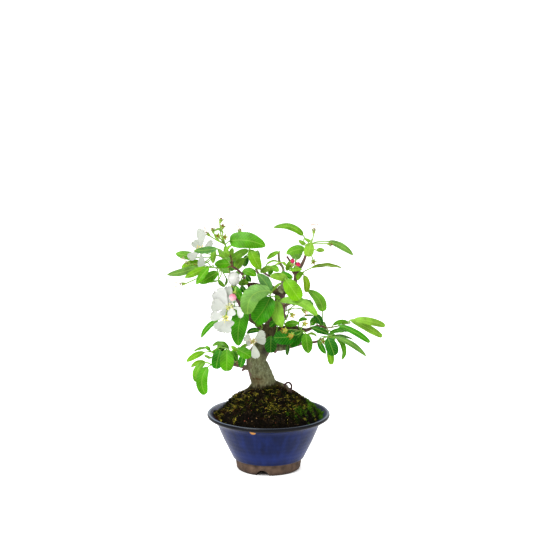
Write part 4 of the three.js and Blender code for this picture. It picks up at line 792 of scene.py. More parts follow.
def stalkPoints(stations, name, skipped):
    line = lineOf(stations, 4)
    places = []
    reaches = []
    for (start, _), (end, radius) in zip(line, line[1:]):
        pieces = math.ceil(np.linalg.norm(end - start) / 2)
        for k in range(1, pieces + 1):
            place = start + (end - start) * k / pieces
            if np.linalg.norm(place - line[0][0]) > skipped:
                places.append(place)
                reaches.append(radius)
    return pointsOf(places, reaches, name, True)


def isFree(points):
    if not len(points["place"]):
        return True
    low = points["place"].min(0) - 12
    high = points["place"].max(0) + 12
    inside = ((held["place"] >= low) & (held["place"] <= high)).all(1)
    near = inside | (held["reach"] > 5)
    apart = np.linalg.norm(points["place"][:, None] - held["place"][near][None], axis=2)
    kin = points["owner"][:, None] == held["owner"][near][None]
    stalk = points["stalk"][:, None] | held["stalk"][near][None]
    reach = points["reach"][:, None] + held["reach"][near][None] + growth["freeGap"]
    reach = np.where(kin, growth["kinReach"], reach)
    return bool(((apart > reach) | (kin & stalk)).all())


shifts = [0]
for step in range(2, 41, 2):
    shifts += [-step, step]


def settle(make):  # the smallest shift in depth at which what is made stays free of all that is held
    made = make(0)
    for shift in shifts:
        tried = make(shift)
        if isFree(tried["points"]):
            made = tried
            break
    hold(made["points"])
    return made


def nodesOf(stem):  # where stalks may leave: the outer part of a stem
    line = lineOf(stem, 4)
    return [{"place": place, "taken": 0} for place, _ in line[int(len(line) * 0.4 + 0.5) :]]


def stalkTo(nodes, end, arrive, sway):
    node = min(nodes, key=lambda one: np.linalg.norm(one["place"] - end) + 3 * one["taken"])
    reach = np.linalg.norm(node["place"] - end)
    radius = growth["stalkRadius"]
    stations = [(node["place"], radius), (end, radius)]
    if reach > 6 or sway != 0:
        middle = node["place"] + (end - node["place"]) * 0.55 - arrive * 0.18 * reach
        stations.insert(1, (middle + np.array([0.0, sway, 0.0]), radius))
    return stations, node


for name, rows in woodLimbs.items():
    hold(stalkPoints(stationsOf(rows), "wood " + name, -1))
plans = {}
for name, shoot in shoots.items():
    stem = stationsOf(shoot["stem"])
    hold(stalkPoints(stem, name, 3))
    plans[name] = {"stem": stem, "nodes": nodesOf(stem), "leaves": [], "heads": []}
for name, shoot in shoots.items():
    for u, v, y, aimX, aimY, aimZ, kind in shoot.get("heads", ()):
        centre = at(u, v, y)
        aim = unit(np.array([aimX, aimY, aimZ], float))
        plans[name]["heads"].append({"centre": centre, "aim": aim, "kind": kind})
        reach = growth["openReach" if kind in ("open", "cup") else "headReach"]
        hold(pointsOf(centre, reach, name, False))
        hold(pointsOf(centre - 3.5 * aim, growth["openReach"], name, True))
cupHead = plans[blossoms["blossom_cup"]["shoot"]]["heads"][blossoms["blossom_cup"]["head"]]
for distance, radius in bowl["rows"][2:]:
    ring = cupHead["centre"] + distance * cupHead["aim"] + radius * spokesRound(cupHead["aim"], 0, 10)
    hold(pointsOf(ring, growth["bladeReach"], "blossom_cup", False))
for name, blossom in blossoms.items():
    head = plans[blossom["shoot"]]["heads"][blossom["head"]]
    aim = head["aim"]
    form = growth["petal"]
    blossom["petalBlades"] = []
    for u, v, y, wide, bow in blossom["petals"]:
        tip = at(u, v, y)
        spoke = tip - head["centre"]
        spoke = unit(spoke - aim * (spoke @ aim))
        rib = ribOf(head["centre"] + spoke * form["root"], tip, bow, aim, form["rise"])
        width = trueWidth(rib, aim, wide, form["widest"])
        petal = {"rib": rib, "face": aim, "width": width, "outline": petalOutline, "fold": form["fold"]}
        hold(bladePoints(petal, name))
        blossom["petalBlades"].append(petal)
for name, plan in plans.items():
    for head in plan["heads"]:
        end = head["centre"] + head["aim"] * (0.6 - cup["length"])

        def headStalk(shift):
            stations, node = stalkTo(plan["nodes"], end, head["aim"], shift)
            return {"stations": stations, "node": node, "points": stalkPoints(stations, name, 4)}

        head["stalk"] = settle(headStalk)
        head["stalk"]["node"]["taken"] += 1
for name, shoot in shoots.items():
    for fromU, fromV, toU, toV, fromY, toY, wide, bow, look, *shape in shoot["leaves"]:

        def leafAt(shift):
            base, tip = at(fromU, fromV, fromY + shift), at(toU, toV, toY + shift)
            face = looks[look]
            form = growth["leaf"]
            rib = ribOf(base, tip, bow, face, form["rise"])
            width = trueWidth(rib, face, wide, form["widest"])
            outline = outlines[shape[0] if shape else "oval"]
            blade = {"rib": rib, "face": face, "width": width, "outline": outline, "fold": form["fold"]}
            stations, node = stalkTo(plans[name]["nodes"], base, ribFrame(rib, 0, face)[0], 0)
            points = bothPoints(bladePoints(blade, name), stalkPoints(stations, name, 4))
            return {"blade": blade, "stations": stations, "node": node, "points": points}

        leaf = settle(leafAt)
        leaf["node"]["taken"] += 1
        plans[name]["leaves"].append(leaf)
print("tree is set out,", len(held["place"]), "points hold their places")


def markPoints(mesh, tones, spots):  # what the materials read
    tone = mesh.attributes.new("tone", "FLOAT_COLOR", "POINT")
    tone.data.foreach_set("color", tones.ravel())
    spot = mesh.attributes.new("spot", "FLOAT_VECTOR", "POINT")
    spot.data.foreach_set("vector", spots.ravel())
    mesh.polygons.foreach_set("use_smooth", [True] * len(mesh.polygons))


# Every piece gathers its skins, with a finish per face and a tone and a place on the blade per point.
class Growth:
    def __init__(self, name):
        self.name = name
        self.points = []
        self.faces = []
        self.finishes = []
        self.tones = []
        self.spots = []
        self.count = 0

    # rings of points closed round, lofted one after the other, with a cap at each end
    def skin(self, rings, finish, tone, spots=None, caps=(True, True)):
        rings = np.asarray(rings, float)
        rows, around = rings.shape[:2]
        start = self.count
        self.points.append(rings.reshape(-1, 3))
        self.count += rows * around
        self.tones.append(np.broadcast_to(np.asarray(tone, float), (rows, around, 3)).reshape(-1, 3))
        if spots is None:
            spots = np.zeros((rows, around, 3))
        self.spots.append(np.asarray(spots, float).reshape(-1, 3))
        ring = np.arange(around)
        after = (ring + 1) % around
        for low in range(start, start + (rows - 1) * around, around):
            high = low + around
            self.faces += np.stack([low + ring, low + after, high + after, high + ring], 1).tolist()
            self.finishes += [finish] * around
        if caps[0]:
            self.faces.append((start + ring[::-1]).tolist())
            self.finishes.append(finish)
        if caps[1]:
            self.faces.append((start + (rows - 1) * around + ring).tolist())
            self.finishes.append(finish)

    def build(self, materials, sharpAbove=55.0):
        mesh = bpy.data.meshes.new(self.name)
        mesh.from_pydata(placed(np.concatenate(self.points)).tolist(), [], self.faces)
        mesh.polygons.foreach_set("material_index", self.finishes)
        markPoints(mesh, np.c_[np.concatenate(self.tones), np.ones(self.count)], np.concatenate(self.spots))
        for material in materials:
            mesh.materials.append(material)
        mesh.set_sharp_from_angle(angle=math.radians(sharpAbove))
        return standing(self.name, mesh)


def standing(name, mesh):
    piece = bpy.data.objects.new(name, mesh)
    bpy.context.collection.objects.link(piece)
    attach(piece, "root")
    return piece


def tubeRings(line, sides, swell=None):  # rings round a smooth line, each a circle across it
    spoke = np.array([0.31, 0.95, 0.07])
    turns = 2 * np.pi * np.arange(sides) / sides
    rings = []
    for i, (place, radius) in enumerate(line):
        along = unit(line[min(i + 1, len(line) - 1)][0] - line[max(i - 1, 0)][0])
        spoke = unit(spoke - along * (spoke @ along))
        other = np.cross(along, spoke)
        wide = radius * (swell(i / (len(line) - 1)) if swell else 1.0)
        rings.append(place + wide * (np.outer(np.cos(turns), spoke) + np.outer(np.sin(turns), other)))
    return rings


# The pot: cobalt glaze over stoneware, thrown on the wheel and fired.
pot = {
    "profile": [  # radius and height, from under the foot over the lip and down inside
        (31.0, 0.0), (36.2, 0.0), (37.4, 0.7), (38.2, 2.2), (38.9, 7.0), (39.4, 12.3), (39.8, 12.9),
        (41.6, 13.3), (42.5, 14.0), (43.2, 15.6), (47.6, 24.5), (53.4, 36.6), (57.4, 46.0), (60.8, 54.2),
        (61.9, 56.6), (63.6, 58.8), (67.5, 60.9), (71.2, 62.6), (72.6, 63.6), (73.0, 64.9), (72.7, 66.4),
        (71.6, 67.5), (70.2, 67.3), (66.0, 65.0), (60.4, 61.6), (57.8, 58.6), (56.4, 54.8), (52.0, 46.0),
        (37.5, 16.0), (34.0, 11.0), (6.0, 11.0), (6.0, 5.0), (29.5, 5.0), (30.6, 4.4),
    ],
    "segments": 180,
    "footRadius": 38.0,
    "footInside": 30.5,
    "footFloor": 5.0,
    "notchWidth": 16.5,
    "notchHeight": 6.5,
    "notches": 3,
    "notchFullness": 0.75,
    "firstTurn": math.radians(-101),
    "wobble": (0.0022, 0.0012),  # out of round, as a share of the radius: twice and five times a turn
    "lip": (72.4, 64.8),
    "lipDarkness": 1.7,
    "lipFade": 2.9,
    "glaze": "101f4c",
    "glazeThin": "1a2c66",
    "glazeDeep": "0a1436",
    "glazeBelt": "1c2e6c",
    "lipDark": "0d0e14",
    "lipCrestHighlight": "7e8896",
    "clay": "5d4a3c",
    "clayDark": "3c2e25",
    "clayPale": "76614f",
}
# one flake is missing from the underside of the lip, in front
chip = {
    "turn": math.radians(-106.6),
    "height": 59.4,
    "wide": 3.5,
    "high": 2.2,
    "corners": 28,
    "rings": ((1.15, -0.5), (1.0, 0.06), (0.7, 0.1), (0.3, 0.12)),  # share of its size, and how proud
    "flare": pot["profile"][13:18],
    "dark": "8a5424",
    "clay": "d29a4e",
    "pale": "dcb27c",
}


def glazedStoneware():
    # Glossy glass skin over clay: blue pools dark in the hollows, is near black on the lip with a painted
    # highlight on its crest, runs down in faint streaks and stops short of the foot, which is bare matt clay.
    material, tree, where = newMaterial("cobaltGlazedStoneware")
    parts = addNode(tree, "SeparateXYZ", None, {0: where})
    spot = addNode(tree, "Attribute", {"attribute_name": "spot"}).outputs["Vector"]
    place = addNode(tree, "SeparateXYZ", None, {0: spot})  # turn share, height in mm, lip share
    runs = addNode(tree, "VectorMath", {"operation": "MULTIPLY", 1: (1.0, 1.0, 0.12)}, {0: where})
    streaks = addNode(tree, "TexNoise", {"Scale": perMm(7.0), "Detail": 3.0}, {"Vector": runs})
    mottle = addNode(tree, "TexNoise", {"Scale": perMm(9.0), "Detail": 4.0}, {"Vector": where})
    depths = {0.2: pot["glazeDeep"], 0.5: pot["glaze"], 0.85: pot["glazeThin"]}
    streakColour = addNode(tree, "ValToRGB", {"stops": depths}, {0: streaks})
    pooled = addNode(
        tree, "Mix",
        {"data_type": "RGBA", "blend_type": "MULTIPLY", 7: (0.72, 0.76, 0.86, 1.0)},
        {0: mottle, 6: streakColour}
    ).outputs[2]
    # a lighter belt just over the foot, fading out towards the foot itself
    belt = addNode(
        tree, "MapRange", {"interpolation_type": "SMOOTHSTEP", 1: 34.0, 2: 22.0}, {0: place.outputs[1]}
    )
    beltFade = addNode(tree, "MapRange", {1: 15.0, 2: 22.0, 4: 0.45}, {0: place.outputs[1]})
    beltShare = addNode(tree, "Math", {"operation": "MULTIPLY"}, {0: belt, 1: beltFade})
    banded = addNode(
        tree, "Mix", {"data_type": "RGBA", 7: linear(pot["glazeBelt"])}, {0: beltShare, 6: pooled}
    ).outputs[2]
    lipNoise = addNode(tree, "TexNoise", {"Scale": perMm(4.0), "Detail": 3.0}, {"Vector": where})
    lipEdge = addNode(tree, "Math", {"operation": "MULTIPLY_ADD", 1: 1.6, 2: 0.9}, {0: lipNoise})
    broken = addNode(
        tree, "Math", {"operation": "MULTIPLY", "use_clamp": True}, {0: lipEdge, 1: place.outputs[2]}
    )
    withLip = addNode(
        tree, "Mix", {"data_type": "RGBA", 7: linear(pot["lipDark"])}, {0: broken, 6: banded}
    ).outputs[2]
    # a painted highlight on the lip's very crest, pale grey, stronger towards the two sides where the light
    # falls
    across = addNode(tree, "Math", {"operation": "ABSOLUTE"}, {0: parts.outputs[0]})
    litSides = addNode(tree, "MapRange", {1: 20.0 * mm, 2: 66.0 * mm, 3: 0.3, 4: 0.85}, {0: across})
    crestBand = addNode(tree, "MapRange", {1: 66.6, 2: 67.4}, {0: place.outputs[1]})
    crestHighlight = addNode(tree, "Math", {"operation": "MULTIPLY"}, {0: crestBand, 1: litSides})
    withCrestHighlight = addNode(
        tree, "Mix", {"data_type": "RGBA", 7: linear(pot["lipCrestHighlight"])}, {0: crestHighlight, 6: withLip}
    ).outputs[2]
    dimples = addNode(tree, "TexNoise", {"Scale": perMm(2.2), "Detail": 2.0}, {"Vector": where})
    # the rings left by throwing on the wheel
    rings = addNode(
        tree, "TexWave",
        {
            "bands_direction": "Z",
            "Scale": perMm(5.5) / 3.14,
            "Distortion": 1.5,
            "Detail": 2.0,
            "Detail Scale": 40.0,
        },
        {"Vector": where}
    ).outputs["Fac"]
    relief = addNode(tree, "Math", {"operation": "MULTIPLY_ADD", 1: 0.6}, {0: dimples, 2: rings})
    bump = addNode(tree, "Bump", {"Strength": 0.3, "Distance": 0.2 * mm}, {"Height": relief})
    glaze = addNode(
        tree, "BsdfPrincipled",
        {"Roughness": 0.34, "IOR": 1.5, "Specular IOR Level": 0.18},
        {"Base Color": withCrestHighlight, "Normal": bump}
    )

    grit = addNode(
        tree, "TexNoise", {"Scale": perMm(0.9), "Detail": 4.0, "Roughness": 0.7}, {"Vector": where}
    )
    stain = addNode(tree, "TexNoise", {"Scale": perMm(8.0), "Detail": 4.0}, {"Vector": where})
    clays = {0.25: pot["clayDark"], 0.55: pot["clay"], 0.85: pot["clayPale"]}
    clayColour = addNode(tree, "ValToRGB", {"stops": clays}, {0: stain})
    clayBump = addNode(tree, "Bump", {"Strength": 0.7, "Distance": 0.5 * mm}, {"Height": grit})
    # the bare foot is darker towards the bottom
    low = addNode(tree, "MapRange", {1: 0.0, 2: 4.5, 3: 0.45, 4: 1.0}, {0: place.outputs[1]})
    darkerLow = addNode(tree, "Mix", multiply, {6: clayColour, 7: low}).outputs[2]
    clay = addNode(
        tree, "BsdfPrincipled", {"Roughness": 0.82, "IOR": 1.45}, {"Base Color": darkerLow, "Normal": clayBump}
    )
    edgeNoise = addNode(tree, "TexNoise", {"Scale": perMm(7.0), "Detail": 2.0}, {"Vector": where})
    edge = addNode(tree, "Math", {"operation": "MULTIPLY_ADD", 1: 1.6, 2: 12.2}, {0: edgeNoise})
    above = addNode(tree, "Math", {"operation": "SUBTRACT"}, {0: place.outputs[1], 1: edge})
    glazed = addNode(tree, "Math", {"operation": "MULTIPLY", 1: 2.5, "use_clamp": True}, {0: above})
    mixed = addNode(tree, "MixShader", None, {0: glazed, 1: clay, 2: glaze})
    addNode(tree, "OutputMaterial", None, {"Surface": mixed})
    return material


def chippedClay():
    # A flake of glaze is gone and shows the orange body: dull and gritty.
    material, tree, where = newMaterial("chippedStoneware")
    grain = addNode(tree, "TexNoise", {"Scale": perMm(0.8), "Detail": 3.0}, {"Vector": where})
    clays = {0.35: chip["dark"], 0.6: chip["clay"], 0.8: chip["pale"]}
    colour = addNode(tree, "ValToRGB", {"stops": clays}, {0: grain})
    clay = addNode(tree, "BsdfPrincipled", {"Roughness": 0.75, "IOR": 1.45}, {"Base Color": colour})
    addNode(tree, "OutputMaterial", None, {"Surface": clay})
    return material


def archHeight(turn):  # how high the foot is cut away at a turn round the pot
    for k in range(pot["notches"]):
        past = turn - pot["firstTurn"] - 2 * math.pi * k / pot["notches"]
        apart = (past + math.pi) % (2 * math.pi) - math.pi
        across = abs(apart) * pot["footRadius"] / (pot["notchWidth"] / 2)
        if across < 1:
            return pot["notchHeight"] * (1 - across**2) ** pot["notchFullness"]
    return 0.0


def makePot():
    turns = [2 * math.pi * k / pot["segments"] for k in range(pot["segments"])]
    half = pot["notchWidth"] / 2 / pot["footRadius"]
    for k in range(pot["notches"]):
        middle = pot["firstTurn"] + 2 * math.pi * k / pot["notches"]
        turns += [(middle + half * s) % (2 * math.pi) for s in (-1.01, -0.985, -0.9, 0.9, 0.985, 1.01)]
    turns = np.array(sorted(turns))
    profile = np.array(pot["profile"])
    fine = [profile[0]]  # the profile in steps of 3 to 6 mm
    for start, end in zip(profile, profile[1:]):
        pieces = max(1, int(np.linalg.norm(end - start) / 3.0))
        fine += [start + (end - start) * i / pieces for i in range(1, pieces + 1)]
    fine = np.array(fine)
    rings = []
    spots = []
    twice, fiveTimes = pot["wobble"]
    for radius, height in fine:
        fromLip = math.hypot(radius - pot["lip"][0], height - pot["lip"][1])
        lip = clamped(pot["lipDarkness"] - fromLip / pot["lipFade"])
        outside = radius > pot["footInside"]
        row = []
        mark = []
        for turn in turns:
            lean = 1 + twice * math.sin(2 * turn + height / 30) + fiveTimes * math.sin(5 * turn + height / 11)
            wide = radius * lean
            high = height
            if height < pot["notchHeight"] + 1 and outside:
                high = max(height, archHeight(turn))
            row.append((wide * math.cos(turn), wide * math.sin(turn), high))
            mark.append((turn / (2 * math.pi), high if outside else pot["footFloor"], lip))
        rings.append(row)
        spots.append(mark)
    rings.append(rings[0])
    spots.append(spots[0])
    piece = Growth("potGlazed")
    piece.skin(rings, 0, (1, 1, 1), spots, caps=(False, False))
    flake = []
    flareRadii, flareHeights = zip(*chip["flare"])
    for share, proud in chip["rings"]:
        ring = []
        for i in range(chip["corners"]):
            angle = 2 * math.pi * i / chip["corners"]
            rough = share * (1 + 0.09 * math.sin(3 * angle + 1) + 0.08 * math.sin(7 * angle))
            height = chip["height"] + chip["high"] * rough * math.sin(angle)
            radius = np.interp(height, flareHeights, flareRadii) + proud
            turn = chip["turn"] + chip["wide"] * rough * math.cos(angle) / radius
            ring.append((radius * math.cos(turn), radius * math.sin(turn), height - proud))
        flake.append(ring)
    piece.skin(flake, 1, (1, 1, 1))
    made = piece.build([glazedStoneware(), chippedClay()], 40)
    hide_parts("pot")


makePot()
print("pot is glazed")


# The drainage screen keeps its frame shape, under the soil.
screen = {"plastic": "1c1f1d", "dust": "4c4232"}


def mouldedScreen():
    # Black polyethylene mesh, moulded: soft dull gloss with a fine grain, dusted with soil.
    material, tree, where = newMaterial("mouldedPolyethyleneScreen")
    dust = addNode(tree, "TexNoise", {"Scale": perMm(3.0), "Detail": 4.0}, {"Vector": where})
    colour = addNode(tree, "ValToRGB", {"stops": {0.45: screen["plastic"], 0.75: screen["dust"]}}, {0: dust})
    grain = addNode(tree, "TexNoise", {"Scale": perMm(0.5), "Detail": 2.0}, {"Vector": where})
    bump = addNode(tree, "Bump", {"Strength": 0.4, "Distance": 0.1 * mm}, {"Height": grain})
    plastic = addNode(
        tree, "BsdfPrincipled", {"Roughness": 0.5, "IOR": 1.5}, {"Base Color": colour, "Normal": bump}
    )
    addNode(tree, "OutputMaterial", None, {"Surface": plastic})
    return material


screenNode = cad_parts["drainage_screen"]
screenNode.data.materials.clear()
screenNode.data.materials.append(mouldedScreen())


# Soil and moss.
mound = {
    "profile": [
        (0, 102), (14, 101), (20, 98.5), (30, 91.5), (40, 85), (48, 79), (54, 73), (58, 67.5), (60.2, 62.5),
    ],
    "edge": 60.0,
    "trunk": (-6, 1, 13),  # x and y of the trunk's middle, and how far it keeps clear
    # small hills: how high, their middle, and how broad. A tuft stands up at the left, where the ball falls
    # away steeply, and moss creeps up the trunk's foot on the right
    "hills": [(2.9, -37.5, -4.0, 9.0), (2.3, -34.0, 2.0, 90.0), (2.6, 9.0, -4.0, 60.0)],
    "skirt": [(54.0, 50.0), (56.6, 56.0), (58.6, 60.0)],
    "outerRing": 59.8,
    "rings": 150,
    "segments": 380,
    "lump": 1.5,
    "clodSize": 5.2,
    "crevice": 1.9,
    "crumb": 0.6,
    "grain": 0.35,
    "tufts": 960,
    "lipTufts": 70,
    "tuftStrands": (12, 20),
    "tuftKinds": {"moss": 6, "mossBright": 2.2, "strandYellow": 0.9, "strandBrown": 2.2},
    "dryStrands": 300,
    "stones": 620,
    "stoneKinds": {"stoneDark": 8, "soilPale": 2.4, "stoneRed": 0.6, "stoneTan": 0.6},
    "seed": 11,
    "soil": "1a140a",
    "soilDark": "0b0703",
    "soilPale": "4a3820",
    "soilGrit": "8a6a3c",
    "creviceShade": "050302",
    "mossDark": "100f03",
    "moss": "191e07",
    "mossBright": "42490d",
    "mossGreen": "527a18",
    "youngDark": "0e1a04",
    "young": "2a4208",
    "youngBright": "5a8018",
    "strandYellow": "a89c40",
    "strandBrown": "4a3014",
    "stoneRed": "7a3f2a",
    "stoneTan": "8c7048",
    "stoneDark": "241a10",
}


def clodEdge(x, y):  # 0 inside a clod of soil to 1 in the crevices between clods
    distances, _ = noise.voronoi(Vector((x / mound["clodSize"], y / mound["clodSize"], 0.0)))
    return max(0.0, 1.0 - 2.6 * (distances[1] - distances[0]))


def moundHeight(x, y):  # crumbly top of the root ball
    radius = math.hypot(x, y)
    radii, heights = zip(*mound["profile"])
    height = float(np.interp(radius, radii, heights))
    fade = clamped((mound["edge"] - radius) / 6.0)
    height += mound["lump"] * fade * 2.0 * noise.noise(Vector((x / 13.0, y / 13.0, 3.7)))
    height += mound["crumb"] * 2.0 * noise.noise(Vector((x / 4.2, y / 4.2, 8.1))) * (0.4 + 0.6 * fade)
    height -= mound["crevice"] * clodEdge(x, y) ** 2 * fade
    for high, middleX, middleY, breadth in mound["hills"]:
        height += high * math.exp(-((x - middleX) ** 2 + (y - middleY) ** 2) / breadth)
    return height


def mossCover(x, y):  # 0 on bare soil to 1 on full moss
    radius = math.hypot(x, y)
    patch = noise.fractal(Vector((x / 14.0, y / 14.0, 1.3)), 1.0, 2.0, 3)
    cover = 0.5 + 1.2 * patch - max(0.0, (radius - 46.0) / 14.0) * 0.9
    if x > 25:
        cover += 0.4
    return clamped(cover)


def mossGreenness(x, y):  # bright young moss low down on the right, by the lip
    patch = noise.noise(Vector((x / 7.0, y / 7.0, 5.5)))
    low = clamped((math.hypot(x, y) - 42.0) / 8.0)
    return 0.85 * low * clamped((x - 18.0) / 24.0 + 1.5 * patch - 0.2)


def mossySoil():
    # Damp potting soil under moss: near-black crumbs with pale grit between olive cushions, no shine at all.
    material, tree, where = newMaterial("mossyPottingSoil")
    spot = addNode(tree, "Attribute", {"attribute_name": "spot"}).outputs["Vector"]
    place = addNode(tree, "SeparateXYZ", None, {0: spot})  # cover, greenness, crevice
    crumbs = addNode(tree, "TexVoronoi", {"Scale": perMm(1.6)}, {"Vector": where})
    fleck = addNode(
        tree, "TexNoise", {"Scale": perMm(1.3), "Detail": 4.0, "Roughness": 0.65}, {"Vector": where}
    )
    soils = {0.3: mound["soilDark"], 0.54: mound["soil"], 0.68: mound["soilPale"], 0.8: mound["soilGrit"]}
    soil = addNode(tree, "ValToRGB", {"stops": soils}, {0: fleck})
    cushion = addNode(
        tree, "TexNoise", {"Scale": perMm(2.8), "Detail": 5.0, "Roughness": 0.7}, {"Vector": where}
    )
    mosses = {0.36: mound["mossDark"], 0.52: mound["moss"], 0.72: mound["mossBright"]}
    moss = addNode(tree, "ValToRGB", {"stops": mosses}, {0: cushion})
    youngMosses = {0.36: mound["youngDark"], 0.56: mound["young"], 0.76: mound["youngBright"]}
    young = addNode(tree, "ValToRGB", {"stops": youngMosses}, {0: cushion})
    mossy = addNode(tree, "Mix", {"data_type": "RGBA"}, {0: place.outputs[1], 6: moss, 7: young}).outputs[2]
    ragged = addNode(
        tree, "TexNoise", {"Scale": perMm(3.0), "Detail": 5.0, "Roughness": 0.7}, {"Vector": where}
    )
    cover = addNode(tree, "Math", {"operation": "ADD"}, {0: place.outputs[0], 1: ragged})
    covered = addNode(tree, "MapRange", {1: 0.86, 2: 1.1}, {0: cover})
    ground = addNode(tree, "Mix", {"data_type": "RGBA"}, {0: covered, 6: soil, 7: mossy}).outputs[2]
    # the crevices between the clods are painted near black, as shade
    colour = addNode(
        tree, "Mix", {"data_type": "RGBA", 7: linear(mound["creviceShade"])}, {0: place.outputs[2], 6: ground}
    ).outputs[2]
    height = addNode(tree, "Math", {"operation": "ADD"}, {0: crumbs, 1: fleck})
    bump = addNode(tree, "Bump", {"Strength": 0.9, "Distance": 0.9 * mm}, {"Height": height})
    earth = addNode(
        tree, "BsdfPrincipled",
        {"Roughness": 0.95, "IOR": 1.4, "Specular IOR Level": 0.2},
        {"Base Color": colour, "Normal": bump}
    )
    addNode(tree, "OutputMaterial", None, {"Surface": earth})
    return material


def mossStrand():
    # Single moss shoots and dry grass ends: thin, papery, dull, each in its own tone.
    material, tree, where = newMaterial("mossShoots")
    colour, _ = mottled(tree, where, 1.5, 2.0, 0.65, 1.25)
    strand = addNode(
        tree, "BsdfPrincipled",
        {"Roughness": 0.8, "IOR": 1.4, "Specular IOR Level": 0.2},
        {"Base Color": colour}
    )
    addNode(tree, "OutputMaterial", None, {"Surface": strand})
    return material


def grittyCrumb():
    # Crumbs of soil, fired clay and pumice among the moss: dry, porous and dull.
    material, tree, where = newMaterial("soilCrumbs")
    colour, pores = mottled(tree, where, 0.6, 3.0, 0.6, 1.3)
    bump = addNode(tree, "Bump", {"Strength": 0.7, "Distance": 0.2 * mm}, {"Height": pores})
    crumb = addNode(
        tree, "BsdfPrincipled", {"Roughness": 0.95, "IOR": 1.45}, {"Base Color": colour, "Normal": bump}
    )
    addNode(tree, "OutputMaterial", None, {"Surface": crumb})
    return material


def makeMound():
    rings = []
    spots = []
    turns = 2 * np.pi * np.arange(mound["segments"]) / mound["segments"]
    for radius, height in mound["skirt"]:
        rings.append([(radius * math.cos(t), radius * math.sin(t), height) for t in turns])
        spots.append([(0.0, 0.0, 0.0)] * len(turns))
    for i in range(mound["rings"]):
        radius = mound["outerRing"] * (1 - i / mound["rings"]) ** 0.85 + 0.05
        row = []
        mark = []
        for t in turns:
            x, y = radius * math.cos(t), radius * math.sin(t)
            high = moundHeight(x, y) + mound["grain"] * 2 * noise.noise(Vector((x / 1.4, y / 1.4, 0.4)))
            row.append((x, y, high))
            # the third mark is the painted shade in the crevices
            mark.append((mossCover(x, y), mossGreenness(x, y), 0.85 * clodEdge(x, y)))
        rings.append(row)
        spots.append(mark)
    piece = Growth("rootBallAndMoss")
    piece.skin(rings, 0, (1, 1, 1), spots, caps=(False, True))
    made = piece.build([mossySoil()], 180)
    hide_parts("soil_mound")


def addStrand(piece, foot, lean, bend, length, wide, tone, steps=2):
    side = unit(np.cross(lean, bend) + np.array([1e-6, 0.0, 0.0]))
    other = np.cross(lean, side)
    rings = []
    for i in range(steps + 1):
        share = i / steps
        size = wide * (1.0 - 0.85 * share**1.5)
        middle = foot + lean * length * share + bend * length * share**2
        corners = ((1, 0), (-0.5, 0.87), (-0.5, -0.87))
        rings.append([middle + size * (side * c + other * s) for c, s in corners])
    piece.skin(rings, 0, tone, caps=(False, True))


def somewhere(draw, most=59.0):  # a place on the mound that the trunk doesn't cover
    trunkX, trunkY, clear = mound["trunk"]
    while True:
        radius = most * math.sqrt(draw.random())
        turn = draw.uniform(0, 2 * math.pi)
        x, y = radius * math.cos(turn), radius * math.sin(turn)
        if math.hypot(x - trunkX, y - trunkY) > clear:
            return x, y


def drawnKind(draw, kinds):  # one of the kinds, by their shares
    return draw.choices(list(kinds), list(kinds.values()))[0]


def makeMossShoots():
    draw = random.Random(mound["seed"])
    piece = Growth("mossShoots")
    tufts = 0
    while tufts < mound["tufts"]:
        x, y = somewhere(draw)
        over = tufts < mound["lipTufts"]
        if over:  # these hang over the lip at the left and, greener, at the right
            turn, radius = draw.gauss(0, 0.2), draw.uniform(58.5, 64.5)
            x, y = draw.choice((-radius, -radius, radius)) * math.cos(turn), radius * math.sin(turn)
        elif draw.random() > mossCover(x, y) * 1.1 + 0.1:
            continue
        tufts += 1
        green = max(mossGreenness(x, y), 0.8 * over * (x > 0))
        kind = "mossGreen" if draw.random() < green else drawnKind(draw, mound["tuftKinds"])
        toned = toneOf(mound[kind]) * draw.uniform(0.6, 1.35)
        spread = draw.uniform(1.0, 2.3)
        for _ in range(draw.randint(*mound["tuftStrands"])):
            away = np.array([draw.gauss(0, 1), draw.gauss(0, 1), 0.0]) * spread * 0.55
            foot = np.array([x, y, 0.0]) + away
            foot[2] = moundHeight(foot[0], foot[1]) - 0.3 + over * draw.uniform(0.0, 4.0)
            upright = np.array([x / 70, y / 70, 1.0]) + away * 0.32 / spread
            lean = unit(upright + [draw.gauss(0, 0.2), draw.gauss(0, 0.2), 0])
            bend = np.array([draw.gauss(0, 0.25), draw.gauss(0, 0.25), -0.1])
            length = draw.uniform(1.3, 3.0) * (1.3 if kind == "mossGreen" else 1.0)
            wide = draw.uniform(0.2, 0.36)
            addStrand(piece, foot, lean, bend, length, wide, toned * draw.uniform(0.75, 1.3))
    for _ in range(mound["dryStrands"]):  # long dry blades, most of them in front
        x, y = somewhere(draw, 50.0)
        where = draw.random()
        if where < 0.35:
            x, y = draw.gauss(9, 11), draw.gauss(-38, 6)
        elif where < 0.65:
            x, y = draw.gauss(-34, 9), draw.gauss(-14, 10)
        foot = np.array([x, y, moundHeight(x, y) - 0.3])
        turn = draw.uniform(0, 2 * math.pi)
        lean = unit(np.array([math.cos(turn), math.sin(turn), draw.uniform(0.5, 1.2)]))
        bend = np.array([draw.gauss(0, 0.3), draw.gauss(0, 0.3), -draw.uniform(0.3, 0.7)])
        toned = toneOf(mound["strandYellow"]) * draw.uniform(0.6, 1.8)
        addStrand(piece, foot, lean, bend, draw.uniform(3.5, 7.5), draw.uniform(0.22, 0.34), toned, 5)
    made = piece.build([mossStrand()], 180)


